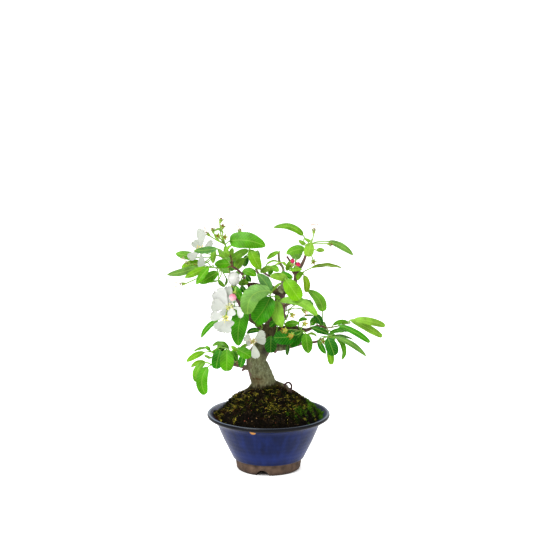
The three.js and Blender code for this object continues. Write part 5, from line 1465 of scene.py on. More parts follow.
def makeCrumbs():
    draw = random.Random(mound["seed"] + 1)
    piece = Growth("soilCrumbs")
    for _ in range(mound["stones"]):
        x, y = somewhere(draw)
        kind = drawnKind(draw, mound["stoneKinds"])
        size = draw.uniform(0.5, 1.15)
        centre = np.array([x, y, moundHeight(x, y) + size * 0.25])
        start = draw.uniform(0, 6)
        rings = []
        for height, wide in ((-0.8, 0.5), (-0.2, 1.0), (0.45, 0.85), (0.8, 0.35)):
            turns = start + 2 * np.pi * np.arange(6) / 6
            rough = np.array([draw.uniform(0.75, 1.15) for _ in turns])
            ring = [wide * rough * np.cos(turns), wide * rough * np.sin(turns), height + 0 * turns]
            rings.append(centre + size * np.stack(ring, 1))
        piece.skin(rings, 0, toneOf(mound[kind]) * draw.uniform(0.7, 1.3))
    made = piece.build([grittyCrumb()], 30)


makeMound()
makeMossShoots()
makeCrumbs()
print("soil and moss are laid")


# Wood: trunk, roots, branches and twigs grown as one.
wood = {
    "voxel": 0.55,
    "steps": 6,
    "fissure": 0.05,
    "lump": 0.055,
    "mostRelief": 0.85,
    "bark": "65664a",
    "barkDark": "424029",
    "barkPale": "858866",
    "lichen": "9a9c80",
    "lichenGreen": "707856",
    "twig": "5a3b30",
    "twigPurple": "7c4c5a",
    "patchBrown": "4c3a1e",
    "branchBrownAndShade": (0.5, 0.4, 0.31),
    "baseTint": (0.22, 0.17, 0.09),
    "rootTint": (0.26, 0.2, 0.17),
    "stubTint": (1.25, 1.22, 1.3),
    "oldFrom": 3.4,
    "branchesFrom": 146.0,
    "knobShadeTint": (0.26, 0.24, 0.2),
    "deadTint": (0.48, 0.34, 0.19),
    "knobLitTop": (1.65, 1.6, 1.3),
    "crotchShade": "2b241a",
}
# places where the bark differs, with how wide and how tall they are
barkPlaces = {
    "stain": (at(-14, 105, -14), 9.0, 6.0),
    "crotchShade": (at(-5, 141, -9), 5.0, 6.5),
    "knob": (at(13, 208, -2), 9.0, 8.0),
    "dead": (at(-19, 220, 0), 12.0, 5.0),
}


def crabappleBark():
    # Old crabapple bark: thin, grey-olive, finely cracked and flaky, mottled with pale lichen. It is dull on
    # the trunk and turns smooth, purplish brown and faintly glossy on the young twigs.
    material, tree, where = newMaterial("crabappleBark")
    spot = addNode(tree, "Attribute", {"attribute_name": "spot"}).outputs["Vector"]
    place = addNode(tree, "SeparateXYZ", None, {0: spot})  # limb radius, brown stain, dark crotch
    tall = addNode(tree, "VectorMath", {"operation": "MULTIPLY", 1: (1.0, 1.0, 0.45)}, {0: where})
    cracks = addNode(
        tree, "TexNoise", {"Scale": perMm(2.6), "Detail": 6.0, "Roughness": 0.7}, {"Vector": tall}
    )
    broad = addNode(
        tree, "TexNoise", {"Scale": perMm(9.0), "Detail": 4.0, "Roughness": 0.6}, {"Vector": where}
    )
    barks = {0.3: wood["barkDark"], 0.46: wood["bark"], 0.66: wood["barkPale"]}
    bark = addNode(tree, "ValToRGB", {"stops": barks}, {0: cracks})
    lichenShape = addNode(
        tree, "TexNoise", {"Scale": perMm(4.5), "Detail": 5.0, "Roughness": 0.72}, {"Vector": where}
    )
    lichenHere = addNode(tree, "Math", {"operation": "MULTIPLY_ADD", 1: 0.6}, {0: broad, 2: lichenShape})
    lichen = addNode(tree, "MapRange", {1: 0.84, 2: 1.0, 4: 0.7}, {0: lichenHere})
    lichenColour = addNode(
        tree, "Mix",
        {"data_type": "RGBA", 6: linear(wood["lichenGreen"]), 7: linear(wood["lichen"])},
        {0: cracks}
    ).outputs[2]
    old = addNode(tree, "Mix", {"data_type": "RGBA"}, {0: lichen, 6: bark, 7: lichenColour}).outputs[2]
    young = addNode(
        tree, "Mix",
        {"data_type": "RGBA", 6: linear(wood["twig"]), 7: linear(wood["twigPurple"])},
        {0: broad}
    ).outputs[2]
    age = addNode(tree, "MapRange", {1: 1.2, 2: 3.2}, {0: place.outputs[0]})
    aged = addNode(tree, "Mix", {"data_type": "RGBA"}, {0: age, 6: young, 7: old}).outputs[2]
    rusty = addNode(
        tree, "Math", {"operation": "MULTIPLY", "use_clamp": True}, {0: place.outputs[1], 1: cracks}
    )
    red = addNode(
        tree, "Mix", {"data_type": "RGBA", 7: linear(wood["patchBrown"])}, {0: rusty, 6: aged}
    ).outputs[2]
    # the crotch below the branches is painted dark on its front, as shade
    withCrotchShade = addNode(
        tree, "Mix", {"data_type": "RGBA", 7: linear(wood["crotchShade"])}, {0: place.outputs[2], 6: red}
    ).outputs[2]
    # old branches are browner than the trunk and painted darker as shade under the leaves, and its foot is
    # stained by wet moss
    tone = addNode(tree, "Attribute", {"attribute_name": "tone"})
    colour = addNode(tree, "Mix", multiply, {6: withCrotchShade, 7: tone}).outputs[2]
    rough = addNode(tree, "MapRange", {1: 1.2, 2: 3.2, 3: 0.55, 4: 0.9}, {0: place.outputs[0]})
    bump = addNode(tree, "Bump", {"Strength": 0.55, "Distance": 0.5 * mm}, {"Height": cracks})
    surface = addNode(
        tree, "BsdfPrincipled", {"IOR": 1.45}, {"Base Color": colour, "Roughness": rough, "Normal": bump}
    )
    addNode(tree, "OutputMaterial", None, {"Surface": surface})
    return material


def nearTo(name, x, z):  # 1 at the middle of a place on the bark, fading to 0
    middle, wide, tall = barkPlaces[name]
    return math.exp(-(((x - middle[0]) / wide) ** 2 + ((z - middle[2]) / tall) ** 2))


def woodSkin():  # all limbs in one skin, their stations, and which of these are of the dead stub
    rough = Growth("woodRough")
    lines = []
    weathered = []
    for name, rows in woodLimbs.items():
        line = lineOf(stationsOf(rows), wood["steps"])
        lines += line
        weathered += [name == "cutStub"] * len(line)
        sides = 30 if max(radius for _, radius in line) > 5 else 14
        rough.skin(tubeRings(line, sides), 0, (1, 1, 1))
    scratch = rough.build([], 180)
    remesh = scratch.modifiers.new("oneSkin", "REMESH")
    remesh.mode = "VOXEL"
    remesh.voxel_size = wood["voxel"] * mm
    mesh = bpy.data.meshes.new_from_object(scratch.evaluated_get(bpy.context.evaluated_depsgraph_get()))
    bpy.data.objects.remove(scratch)
    mesh.name = "trunkAndBranches"
    return mesh, lines, weathered


def makeWood():
    mesh, lines, weathered = woodSkin()
    count = len(mesh.vertices)
    places = np.zeros(count * 3)
    normals = np.zeros(count * 3)
    mesh.vertices.foreach_get("co", places)
    mesh.vertices.foreach_get("normal", normals)
    places = places.reshape(-1, 3) / mm - potAxis
    normals = normals.reshape(-1, 3)
    tree = kdtree.KDTree(len(lines))
    for i, (place, _) in enumerate(lines):
        tree.insert(place, i)
    tree.balance()
    spots = np.zeros((count, 3))
    tones = np.ones((count, 4))
    knobLitFrom = barkPlaces["knob"][0][2] + 4.5
    for i, (place, normal) in enumerate(zip(places, normals)):
        nearest = tree.find(place)[1]
        radius = lines[nearest][1]
        x, y, z = place
        fissures = noise.fractal(Vector((x / 3.0, y / 3.0, z / 8.0)), 0.9, 2.1, 4)
        lumps = noise.noise(Vector((x / 7.0, y / 7.0, z / 9.0)))
        nodes = noise.noise(Vector((x / 2.2, y / 2.2, z / 2.2)))
        relief = radius * (wood["fissure"] * fissures + wood["lump"] * lumps) + 0.1 * nodes
        # old cuts have healed over as a knob, painted dark as shade and paler on top as if lit from above
        burl = nearTo("knob", x, z)
        relief += burl * (0.5 * nodes + 0.25)
        places[i] += normal * max(-wood["mostRelief"], min(wood["mostRelief"], relief))
        stain = nearTo("stain", x, z) * (y < 0)
        # painted shade in the crotch, on the front only
        dark = nearTo("crotchShade", x, z) * (y < 0)
        spots[i] = radius, stain * (1.7 + 1.6 * nodes), min(0.85, dark)
        # upper branches: browner bark, with painted shade from the leaves above
        brownAndShaded = clamped((z - wood["branchesFrom"]) / 16.0) * clamped((radius - 1.6) / 1.5)
        ragged = 2.6 * noise.fractal(Vector((x / 6.0, y / 6.0, z / 6.0)), 1.0, 2.0, 3)
        ground = moundHeight(x, y) if z < 115 else 0.0
        wet = clamped((ground + 6.5 + ragged - z) / 4.0)
        if weathered[nearest]:  # the dead stub has turned grey
            spots[i, 0] = wood["oldFrom"]
            tones[i, :3] = wood["stubTint"]
            continue
        tones[i, :3] += brownAndShaded * (np.array(wood["branchBrownAndShade"]) - 1)
        tones[i, :3] *= 1 + wet * (np.array(wood["baseTint"]) - 1)
        # the knob's painted shade, and the painted light on its top
        tones[i, :3] *= 1 + 0.8 * burl * (np.array(wood["knobShadeTint" if z < knobLitFrom else "knobLitTop"]) - 1)
        tones[i, :3] *= 1 + nearTo("dead", x, z) * (np.array(wood["deadTint"]) - 1)
        if z < 112 and radius < 2.2 and x > 8:  # the thin loop of root over the moss is nearly black
            tones[i, :3] = wood["rootTint"]
    mesh.vertices.foreach_set("co", placed(places).ravel())
    markPoints(mesh, tones, spots)
    mesh.materials.clear()
    mesh.materials.append(crabappleBark())
    mesh.update()
    made = standing("trunkAndBranches", mesh)
    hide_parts("wood")
    print("wood has", len(mesh.polygons), "faces")


makeWood()


# Leafy shoots: soft stem, stalks, toothed leaves and flower cups.
leafForm = {
    "rowMm": 1.0,
    "columns": (-1.0, -0.86, -0.68, -0.46, -0.22, 0.0, 0.22, 0.46, 0.68, 0.86, 1.0),
    "thick": 0.34,
    "toothDepth": 0.06,
    "fold": 1.3,
    "arch": 0.1,
    "veinPitch": 3.4,
    "veinSlant": 0.85,
    "pucker": 0.15,
    "wave": 0.045,
    "ribKeel": 0.4,
    "veinTone": "b4d468",
    "belowTone": "9cba6c",
    "glowTint": (1.25, 1.15, 0.35, 1.0),
}
# the dark and deep tones are partly the leaves' own colour and partly painted shade
leafTones = {
    "dark": "1a6e02",
    "deep": "2c8402",
    "mid": "429402",
    "vivid": "58a004",
    "light": "68a428",
    "lime": "76ae0e",
    "olive": "749a06",
    "pale": "86b63c",
    "dull": "6a9a42",
    "bluish": "5e964e",
}
# the tone of each leaf, in the order of its shoot, dark and deep partly as painted shade; unnamed leaves are
# mid
toneOrder = {
    "shoot_far_left": "dull lime lime vivid vivid light pale dull",
    "shoot_upper_left": "light bluish pale vivid pale pale",
    "shoot_top_left": "vivid pale pale pale",
    "shoot_top_middle": "pale lime dark pale",
    "shoot_inner_left": "vivid dark pale dark",
    "shoot_blossom_left": "mid dark deep",
    "shoot_middle_left": "mid",
    "shoot_behind_blossom": "mid deep",
    "shoot_front": "dull mid bluish light deep pale",
    "shoot_knee": "pale pale",
    "shoot_knee_low": "vivid",
    "shoot_lime": "pale mid lime",
    "shoot_stub": "pale pale light vivid pale",
    "shoot_stub_top": "lime",
    "shoot_top_right": "lime pale light pale dull pale pale",
    "shoot_buds": "lime lime",
    "shoot_olive": "lime olive olive",
    "shoot_long_stalk": "light",
    "shoot_right_tip": "pale pale mid vivid",
    "shoot_right_low": "mid dark dull vivid dark lime deep",
    "shoot_flower_hub": "vivid mid pale dark deep",
    "shoot_right_dark": "dark mid dark dark",
    "shoot_low_right": "dark dark deep",
    "shoot_low_blossom": "dark vivid",
    "shoot_low_left": "lime light vivid pale light dark deep vivid",
    "shoot_low_left_hanging": "light vivid lime",
    "shoot_low_left_front": "vivid pale deep mid pale",
}
stemTones = {
    "stem": "74903a",
    "red": "7d4636",
    "stalk": "86b03a",
    "calyx": "98b648",
    "sepalTip": "6e3a1c",
    "style": "b9c872",
    "oldStyle": "a9b36a",
}
finishes = {"leaf": 0, "stem": 1, "filament": 2, "anther": 3}


def crabappleLeaf():
    # A living leaf: waxy above with a satin gloss, lighter and matt below, and it glows yellow-green where
    # light comes through. Pale veins branch from the midrib every few millimetres.
    material, tree, where = newMaterial("crabappleLeaf")
    spot = addNode(tree, "Attribute", {"attribute_name": "spot"}).outputs["Vector"]
    place = addNode(tree, "SeparateXYZ", None, {0: spot})  # vein count, mm from the midrib, underside
    wander = addNode(tree, "TexNoise", {"Scale": perMm(3.0), "Detail": 2.0}, {"Vector": where})
    count = addNode(tree, "Math", {"operation": "MULTIPLY_ADD", 1: 0.5}, {0: wander, 2: place.outputs[0]})
    nearVein = addNode(tree, "Math", {"operation": "PINGPONG", 1: 0.5}, {0: count})
    vein = addNode(tree, "MapRange", {1: 0.13, 2: 0.03, 3: 0.0, 4: 0.6}, {0: nearVein})
    offRib = addNode(tree, "Math", {"operation": "ABSOLUTE"}, {0: place.outputs[1]})
    rib = addNode(tree, "MapRange", {1: 0.75, 2: 0.3}, {0: offRib})
    lines = addNode(tree, "Math", {"operation": "MAXIMUM"}, {0: vein, 1: rib})
    blade, _ = mottled(tree, where, 11.0, 3.0, 0.74, 1.24)
    lineShare = addNode(tree, "Math", {"operation": "MULTIPLY", 1: 0.32}, {0: lines})
    veined = addNode(
        tree, "Mix", {"data_type": "RGBA", 7: linear(leafForm["veinTone"])}, {0: lineShare, 6: blade}
    ).outputs[2]
    belowShare = addNode(tree, "Math", {"operation": "MULTIPLY", 1: 0.42}, {0: place.outputs[2]})
    colour = addNode(
        tree, "Mix", {"data_type": "RGBA", 7: linear(leafForm["belowTone"])}, {0: belowShare, 6: veined}
    ).outputs[2]
    rough = addNode(tree, "MapRange", {3: 0.36, 4: 0.75}, {0: place.outputs[2]})
    grain = addNode(tree, "TexNoise", {"Scale": perMm(0.7), "Detail": 2.0}, {"Vector": where})
    height = addNode(tree, "Math", {"operation": "MULTIPLY_ADD", 1: -0.8}, {0: lines, 2: grain})
    bump = addNode(tree, "Bump", {"Strength": 0.5, "Distance": 0.2 * mm}, {"Height": height})
    skin = addNode(
        tree, "BsdfPrincipled",
        {"IOR": 1.42, "Specular IOR Level": 0.2},
        {"Base Color": colour, "Roughness": rough, "Normal": bump}
    )
    glow = addNode(tree, "Mix", {**multiply, 7: leafForm["glowTint"]}, {6: veined}).outputs[2]
    through = addNode(tree, "BsdfTranslucent", None, {"Color": glow, "Normal": bump})
    mixed = addNode(tree, "MixShader", {0: 0.3}, {1: skin, 2: through})
    addNode(tree, "OutputMaterial", None, {"Surface": mixed})
    return material


def downyStem():
    # This year's stems, stalks and calyxes: green, flushed darker, under a fine pale down that dulls them.
    material, tree, where = newMaterial("downyGreenStem")
    colour, _ = mottled(tree, where, 7.0, 3.0, 0.72, 1.22)
    down = addNode(tree, "TexNoise", {"Scale": perMm(0.5), "Detail": 2.0}, {"Vector": where})
    bump = addNode(tree, "Bump", {"Strength": 0.5, "Distance": 0.15 * mm}, {"Height": down})
    stem = addNode(
        tree, "BsdfPrincipled",
        {"Roughness": 0.6, "IOR": 1.42, "Sheen Weight": 0.25, "Sheen Roughness": 0.4},
        {"Base Color": colour, "Normal": bump}
    )
    addNode(tree, "OutputMaterial", None, {"Surface": stem})
    return material


def filamentThread():
    # Stamen stalks: thin, wet-looking, nearly clear cream threads.
    material, tree, where = newMaterial("stamenFilament")
    colour, _ = mottled(tree, where, 1.5, 2.0, 0.88, 1.08)
    thread = addNode(tree, "BsdfPrincipled", {"Roughness": 0.35, "IOR": 1.4}, {"Base Color": colour})
    addNode(tree, "OutputMaterial", None, {"Surface": thread})
    return material


def pollenAnther():
    # Anthers: mealy with pollen, quite matt, yellow when fresh and tan when spent.
    material, tree, where = newMaterial("pollenAnther")
    colour, grains = mottled(tree, where, 0.35, 2.0, 0.75, 1.2)
    bump = addNode(tree, "Bump", {"Strength": 0.6, "Distance": 0.1 * mm}, {"Height": grains})
    anther = addNode(
        tree, "BsdfPrincipled", {"Roughness": 0.9, "IOR": 1.4}, {"Base Color": colour, "Normal": bump}
    )
    addNode(tree, "OutputMaterial", None, {"Surface": anther})
    return material


shootMaterials = [crabappleLeaf(), downyStem(), filamentThread(), pollenAnther()]

# painted sheen: how far the upper part of a leaf is painted paler where its pleats catch the light, for all
# leaves, then single ones
paintedSheen = {
    "tone": "9ccc84",
    "all": 0.16,
    "shoot_top_right 0": 0.35,
    "shoot_front 0": 0.75,
    "shoot_knee 0": 0.3,
    "shoot_top_left 0": 0.3,
}


def roundBlade(upper):  # across a blade from -1 to 1 and back underneath, and which points are underneath
    sides = np.concatenate([upper, upper[-2:0:-1]])
    return sides, np.concatenate([np.zeros(len(upper)), np.ones(len(upper) - 2)])


def addLeaf(piece, leaf, tone, pale, draw):
    blade = leaf["blade"]
    length = ribLength(blade["rib"])
    rows = int(min(60, max(12, length / leafForm["rowMm"])))
    half = blade["width"] / 2
    phase = draw.uniform(0, 2 * math.pi)
    waves = draw.uniform(1.6, 2.6)
    lean = draw.uniform(-0.05, 0.05)
    sides, below = roundBlade(np.array(leafForm["columns"]))
    rings = []
    spots = []
    pleats = []
    for i in range(rows + 1):
        t = min(i / rows, 0.997)
        _, out, across = ribFrame(blade["rib"], t, blade["face"])
        along = t * length
        full = half * blade["outline"](t)
        tooth = leafForm["toothDepth"] * (i % 2) * min(1.0, half / 4) * (0.15 < t < 0.97)
        toothed = full * (1 - tooth * (np.abs(sides) > 0.9))
        wide = np.maximum(toothed, growth["stalkRadius"] * (1 - t) * 0.9)
        apart = np.abs(sides) * wide
        veins = (along - apart * leafForm["veinSlant"]) / leafForm["veinPitch"]
        pleat = 0.5 - 0.5 * np.cos(2 * np.pi * veins)
        pucker = leafForm["pucker"] * np.clip(full / 5, 0, 1.7) * pleat * (1 - np.abs(sides) ** 3)
        swing = np.sin(2 * np.pi * waves * t + phase + (sides > 0) * 1.3)
        wave = leafForm["wave"] * 2 * half * swing * sides**2
        domed = -leafForm["arch"] * apart**2 / max(half, 1.0)
        tilted = lean * sides * full * t
        lift = leafForm["fold"] * blade["fold"] * apart + domed + pucker + wave * np.sin(np.pi * t) + tilted
        stiff = np.exp(-((sides * wide / 0.6) ** 2)) * leafForm["ribKeel"] * (1 - 0.75 * t)
        lift -= below * (leafForm["thick"] * (1 - np.abs(sides) ** 6) + stiff)
        rings.append(ribPoint(blade["rib"], t) + np.outer(sides * wide, across) + np.outer(lift, out))
        spots.append(np.stack([veins, sides * wide, below], 1))
        pleats.append(pleat)
    # painted sheen: the higher parts of the blade and the crests of its pleats are painted paler, as if lit
    # from above
    height = np.array(rings)[:, :, 2]
    high = (height - height.min()) / (height.max() - height.min())
    share = pale * high**1.5 * (0.45 + 0.55 * np.array(pleats))
    tones = tone + share[:, :, None] * (toneOf(paintedSheen["tone"]) - tone)
    piece.skin(rings, finishes["leaf"], tones, spots)


def addTube(piece, stations, tone, sides=7, steps=5, swell=None, finish="stem"):
    piece.skin(tubeRings(lineOf(stations, steps), sides, swell), finishes[finish], tone)


def addBlob(piece, centre, axis, length, radius, tone, finish):
    spoke = unit(np.cross(axis, [0.3, 0.5, 0.81]))
    other = np.cross(axis, spoke)
    turns = 2 * np.pi * np.arange(6) / 6
    circle = np.outer(np.cos(turns), spoke) + np.outer(np.sin(turns), other)
    rings = []
    for share in (0.04, 0.3, 0.7, 0.96):
        wide = radius * math.sin(math.pi * share) ** 0.6
        rings.append(centre + axis * length * (share - 0.5) + wide * circle)
    piece.skin(rings, finishes[finish], tone)


def addStamens(piece, head, count, reach, rise, spread, tones, draw):
    aim = head["aim"]
    for spoke in spokesRound(aim, draw.uniform(0, 1), count):
        out = reach * draw.uniform(*spread)
        up = rise * draw.uniform(0.78, 1.05)
        foot = head["centre"] + aim * 0.9 + spoke * 0.7
        tip = head["centre"] + aim * up + spoke * out
        middle = (foot + tip) / 2 + aim * 0.9 + spoke * 0.1 * out
        # threads are drawn at 0.35 mm, wider than the real 0.2 mm, so that they show
        addTube(piece, [(foot, 0.22), (middle, 0.17), (tip, 0.13)], tones[0], 4, 2, finish="filament")
        addBlob(piece, tip, unit(aim + 0.6 * spoke), 1.35, 0.5, tones[1] * draw.uniform(0.8, 1.15), "anther")


# blossom past its best, by shoot: threads, anthers, and how far the threads reach out and up
fadedStamens = {
    "shoot_flower_hub": ("d6c06c", "c8802e", 4.4, 5.2),
    "shoot_knee_low": ("cdb45e", "c8862e", 4.4, 5.2),
    "others": ("f1ece2", "cda58c", 5.2, 8.0),
    "tuft": ("96703a", "84502a", 1.3, 1.8),
}


def addCup(piece, name, head, draw):
    aim = head["aim"]
    centre = head["centre"]
    green = toneOf(stemTones["calyx"])
    base = centre - aim * cup["length"]
    line = [(base + aim * height, radius) for height, radius in cup["profile"]]
    piece.skin(tubeRings(line, 12), finishes["stem"], green)
    spent = head["kind"] in ("spent", "bare")
    lift = cup["sepal"] * (0.3 if spent else -0.35)
    browned = 0.45 if spent else 0.55  # sepals dry from their tips
    for spoke in spokesRound(aim, 0.3, 10)[::2]:
        foot = centre - aim * (cup["throat"] + 0.2) + spoke * 1.2
        tip = centre + aim * (lift - cup["throat"]) + spoke * cup["sepal"] * draw.uniform(0.92, 1.02)
        side = np.cross(aim, spoke)
        rings = []
        tones = []
        for i in range(7):
            t = i / 6
            middle = foot + (tip - foot) * t + aim * 0.9 * math.sin(math.pi * t) * (1 if spent else 0.6)
            wide = 1.25 * (1 - t) ** 0.8 + 0.06
            deep = 0.2 * (1 - 0.6 * t)
            ring = [middle + side * wide * c + aim * deep * s for c, s in ((-1, 0), (0, 1), (1, 0), (0, -1))]
            rings.append(ring[::-1])
            share = max(0.0, t - browned) / (1 - browned)
            tones.append([green * (1 - share) + toneOf(stemTones["sepalTip"]) * share] * 4)
        piece.skin(rings, finishes["stem"], tones)
    if spent and name not in fadedStamens:  # a withered tuft is left in the throat
        threads, pollen, reach, rise = fadedStamens["tuft"]
        addStamens(piece, head, 8, reach, rise, (0.3, 1.0), (toneOf(threads), toneOf(pollen)), draw)
    if head["kind"] == "spent":
        threads, pollen, reach, rise = fadedStamens.get(name, fadedStamens["others"])
        addStamens(piece, head, 11, reach, rise, (0.35, 1.0), (toneOf(threads), toneOf(pollen)), draw)
    if head["kind"] == "bare":
        style = [(centre - aim * 1.4, 0.3), (centre + aim * 2.6, 0.18)]
        addTube(piece, style, toneOf(stemTones["oldStyle"]), 5, 2, finish="filament")


def stalkSwell(share):  # stalks are downy, which makes them look a little thicker
    return 1.22 * stemSwell(share)


def stemSwell(share):  # a swollen foot and a slight thickening at the tip
    return 1.0 + 0.45 * math.exp(-((share / 0.06) ** 2)) + 0.12 * math.exp(-(((1 - share) / 0.08) ** 2))


def makeShoot(name):
    draw = random.Random(name)
    plan = plans[name]
    piece = Growth(name.replace("shoot_", "leafyShoot_"))
    red = toneOf(stemTones["red"])
    line = lineOf(plan["stem"], 6)
    shares = np.linspace(0, 1, len(line))[:, None, None]
    tone = red * (1 - shares) * 0.8 + toneOf(stemTones["stem"]) * (0.2 + 0.8 * shares)
    piece.skin(tubeRings(line, 9, stemSwell), finishes["stem"], tone)
    named = toneOrder.get(name, "").split()
    for i, leaf in enumerate(plan["leaves"]):
        kind = named[i] if i < len(named) else "mid"
        tone = toneOf(leafTones[kind]) * draw.uniform(0.9, 1.1)
        tone[0] *= draw.uniform(0.92, 1.1)
        addLeaf(piece, leaf, tone, paintedSheen.get(f"{name} {i}", paintedSheen["all"]), draw)
        stalk = toneOf(stemTones["stalk"]) * 0.6 + tone * 0.5
        addTube(piece, leaf["stations"], stalk, swell=stalkSwell)
    for head in plan["heads"]:
        addTube(piece, head["stalk"]["stations"], toneOf(stemTones["stalk"]), swell=stalkSwell)
        addCup(piece, name, head, draw)
    made = piece.build(shootMaterials)
    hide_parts(name)


for name in shoots:
    makeShoot(name)
print("shoots have grown")


# Blossom.
petalForm = {"rows": 20, "columns": 15, "thick": 0.24, "ruffle": 0.55}
petalTones = {"white": "d9dcd6", "vein": "bdc1b9", "claw": "cdd4a8"}
# blossoms painted in light and shade, petal by petal: greyer whites are painted shade, the low one greyest,
# the cup whiter
petalLightAndShade = {
    "blossom_top_left": "c2c7bd b6bdb1 bac0b4 c4c9bf b9c0b4",
    "blossom_cup": "f0efec eeedea f0efec ebeae6 eeedea",
    "blossom_upper": "dadcd8 d6d9d3 f6f7f4 d2d6cf c8ccc4",
    "blossom_lower": "d6d9d3 cfd3cb d0d4cc d4d7d0 e2e4e0",
    "blossom_low_centre": "c6cbbe b8beb0 b0b6a8 c4c9bc b2b8aa",
}


def whitePetal():
    # Fresh petal: thin, soft and matt, near pure white, with faint grey veins, and light glows through it.
    material, tree, where = newMaterial("whiteCrabapplePetal")
    spot = addNode(tree, "Attribute", {"attribute_name": "spot"}).outputs["Vector"]
    place = addNode(tree, "SeparateXYZ", None, {0: spot})  # vein fan, share along, underside
    fan = addNode(tree, "Math", {"operation": "PINGPONG", 1: 0.5}, {0: place.outputs[0]})
    vein = addNode(tree, "MapRange", {1: 0.2, 2: 0.03, 3: 0.0, 4: 0.4}, {0: fan})
    soft, _ = mottled(tree, where, 5.0, 3.0, 0.93, 1.0)
    colour = addNode(
        tree, "Mix", {"data_type": "RGBA", 7: linear(petalTones["vein"])}, {0: vein, 6: soft}
    ).outputs[2]
    bump = addNode(
        tree, "Bump", {"Strength": 0.35, "Distance": 0.15 * mm, "invert": True}, {"Height": vein}
    )
    skin = addNode(
        tree, "BsdfPrincipled",
        {"Roughness": 0.62, "IOR": 1.4, "Sheen Weight": 0.15},
        {"Base Color": colour, "Normal": bump}
    )
    through = addNode(tree, "BsdfTranslucent", None, {"Color": colour})
    mixed = addNode(tree, "MixShader", {0: 0.28}, {1: skin, 2: through})
    addNode(tree, "OutputMaterial", None, {"Surface": mixed})
    return material


def addPetal(piece, petal, white, draw):
    half = petal["width"] / 2
    phase = draw.uniform(0, 2 * math.pi)
    curl = draw.uniform(-0.06, 0.08)
    sides, below = roundBlade(np.linspace(-1, 1, petalForm["columns"]))
    rings = []
    spots = []
    tones = []
    claw = toneOf(petalTones["claw"])
    for i in range(petalForm["rows"] + 1):
        t = min(i / petalForm["rows"], 0.998)
        along, out, across = ribFrame(petal["rib"], t, petal["face"])
        full = max(half * petal["outline"](t), 0.7 * (1 - t))
        ruffle = petalForm["ruffle"] * np.sin(3.5 * np.pi * t + 5 * sides + phase) * np.abs(sides) ** 2 * t
        cupped = petal["fold"] * np.abs(sides) ** 1.6 * full + curl * full * t**2
        thick = petalForm["thick"] * (1 - np.abs(sides) ** 6) * (1 - t**8)
        lift = cupped + ruffle - below * thick
        # the tip is notched a little, and the margin wavers
        notch = 0.06 * half * t**6 * np.exp(-((sides / 0.25) ** 2))
        back = notch + 0.02 * half * t**6 * np.sin(9 * sides + phase)
        ring = ribPoint(petal["rib"], t) + np.outer(sides * full, across) + np.outer(lift, out)
        rings.append(ring - np.outer(back * 4, along))
        spots.append(np.stack([sides * 5.5, np.full(len(sides), t), below], 1))
        share = max(0.0, 1 - t / 0.18)
        tones.append(np.tile(white * (1 - share) + claw * share, (len(sides), 1)))
    piece.skin(rings, 0, tones, spots)


def bowlRadius(distance):
    distances, radii = zip(*bowl["rows"])
    closing = 1.0 - 0.75 * np.clip(distance / distances[-1], 0, 1) ** 14  # the petals' tips meet
    return np.interp(distance, distances, radii) * closing


def addBowlPetal(piece, head, middle, white, draw):  # one of the petals that lap round the bowl
    top = bowl["rows"][-1][0]
    sides, below = roundBlade(np.linspace(-1, 1, petalForm["columns"]))
    rings = []
    spots = []
    phase = draw.uniform(0, 6)
    for i in range(petalForm["rows"] + 1):
        t = i / petalForm["rows"]
        spread = bowl["petalHalf"] * (0.35 + 0.65 * math.sin(math.pi * min(0.5, t + 0.05)) ** 0.5)
        turn = middle + sides * spread
        tall = top + 0.6 - 1.1 * np.abs(sides) ** 2.5
        distance = -0.6 + tall * t + 0.25 * np.sin(6 * sides + phase) * t**4
        radius = bowlRadius(distance) + 0.35 * sides - 0.28 + 0.3 * below * (1 - np.abs(sides) ** 6)
        radius = np.maximum(radius, 0.4)
        circle = circleRound(head["aim"], turn) * radius[:, None]
        rings.append(head["centre"] + np.outer(distance, head["aim"]) + circle)
        spots.append(np.stack([sides * 5.5, np.full(len(sides), t), 1 - below], 1))
    piece.skin(rings[::-1], 0, white, spots[::-1])


petalMaterial = whitePetal()
# stamen colours per blossom; the upper blossom's are painted paler and brighter than their own colour, as
# light on threads that lie half in shade
stamenColoursAndLight = {
    "blossom_low_centre": ("d6c79a", "b0865a"),
    "blossom_cup": ("e6e2b8", "d9bd4a"),
    "blossom_upper": ("fbfbd8", "f6e86c"),
    "blossom_lower": ("f4f4ce", "eedc50"),
    "others": ("eef0c8", "e3c638"),
}


def makeBlossom(name, blossom):
    draw = random.Random(name)
    head = plans[blossom["shoot"]]["heads"][blossom["head"]]
    piece = Growth(name + "_whitePetals")
    litAndShadedWhites = [toneOf(code) for code in petalLightAndShade.get(name, petalTones["white"]).split()]
    shut = head["kind"] == "cup"
    if shut:
        for k in range(bowl["petals"]):
            addBowlPetal(piece, head, 2 * math.pi * k / bowl["petals"], litAndShadedWhites[k], draw)
    for i, petal in enumerate(blossom["petalBlades"]):
        addPetal(piece, petal, litAndShadedWhites[i % len(litAndShadedWhites)], draw)
    made = piece.build([petalMaterial], 70)
    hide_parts(name + "_petals")
    threads, pollen = stamenColoursAndLight.get(name, stamenColoursAndLight["others"])
    piece = Growth(name + "_threads")
    tones = (toneOf(threads), toneOf(pollen))
    reach = growth["stamenLength"] * (0.3 if shut else 0.85)
    addStamens(piece, head, 20, reach, growth["stamenLength"] * 0.86, (0.25, 1.0), tones, draw)
    for spoke in spokesRound(head["aim"], 0.4):
        foot = head["centre"] + head["aim"] * 0.9 + spoke * 0.25
        tip = head["centre"] + head["aim"] * growth["stamenLength"] * 0.8 + spoke * 0.5
        addTube(piece, [(foot, 0.24), (tip, 0.16)], toneOf(stemTones["style"]), 5, 3, finish="filament")
    made = piece.build(shootMaterials)
    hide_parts(name + "_stamens")


for name, blossom in blossoms.items():
    makeBlossom(name, blossom)


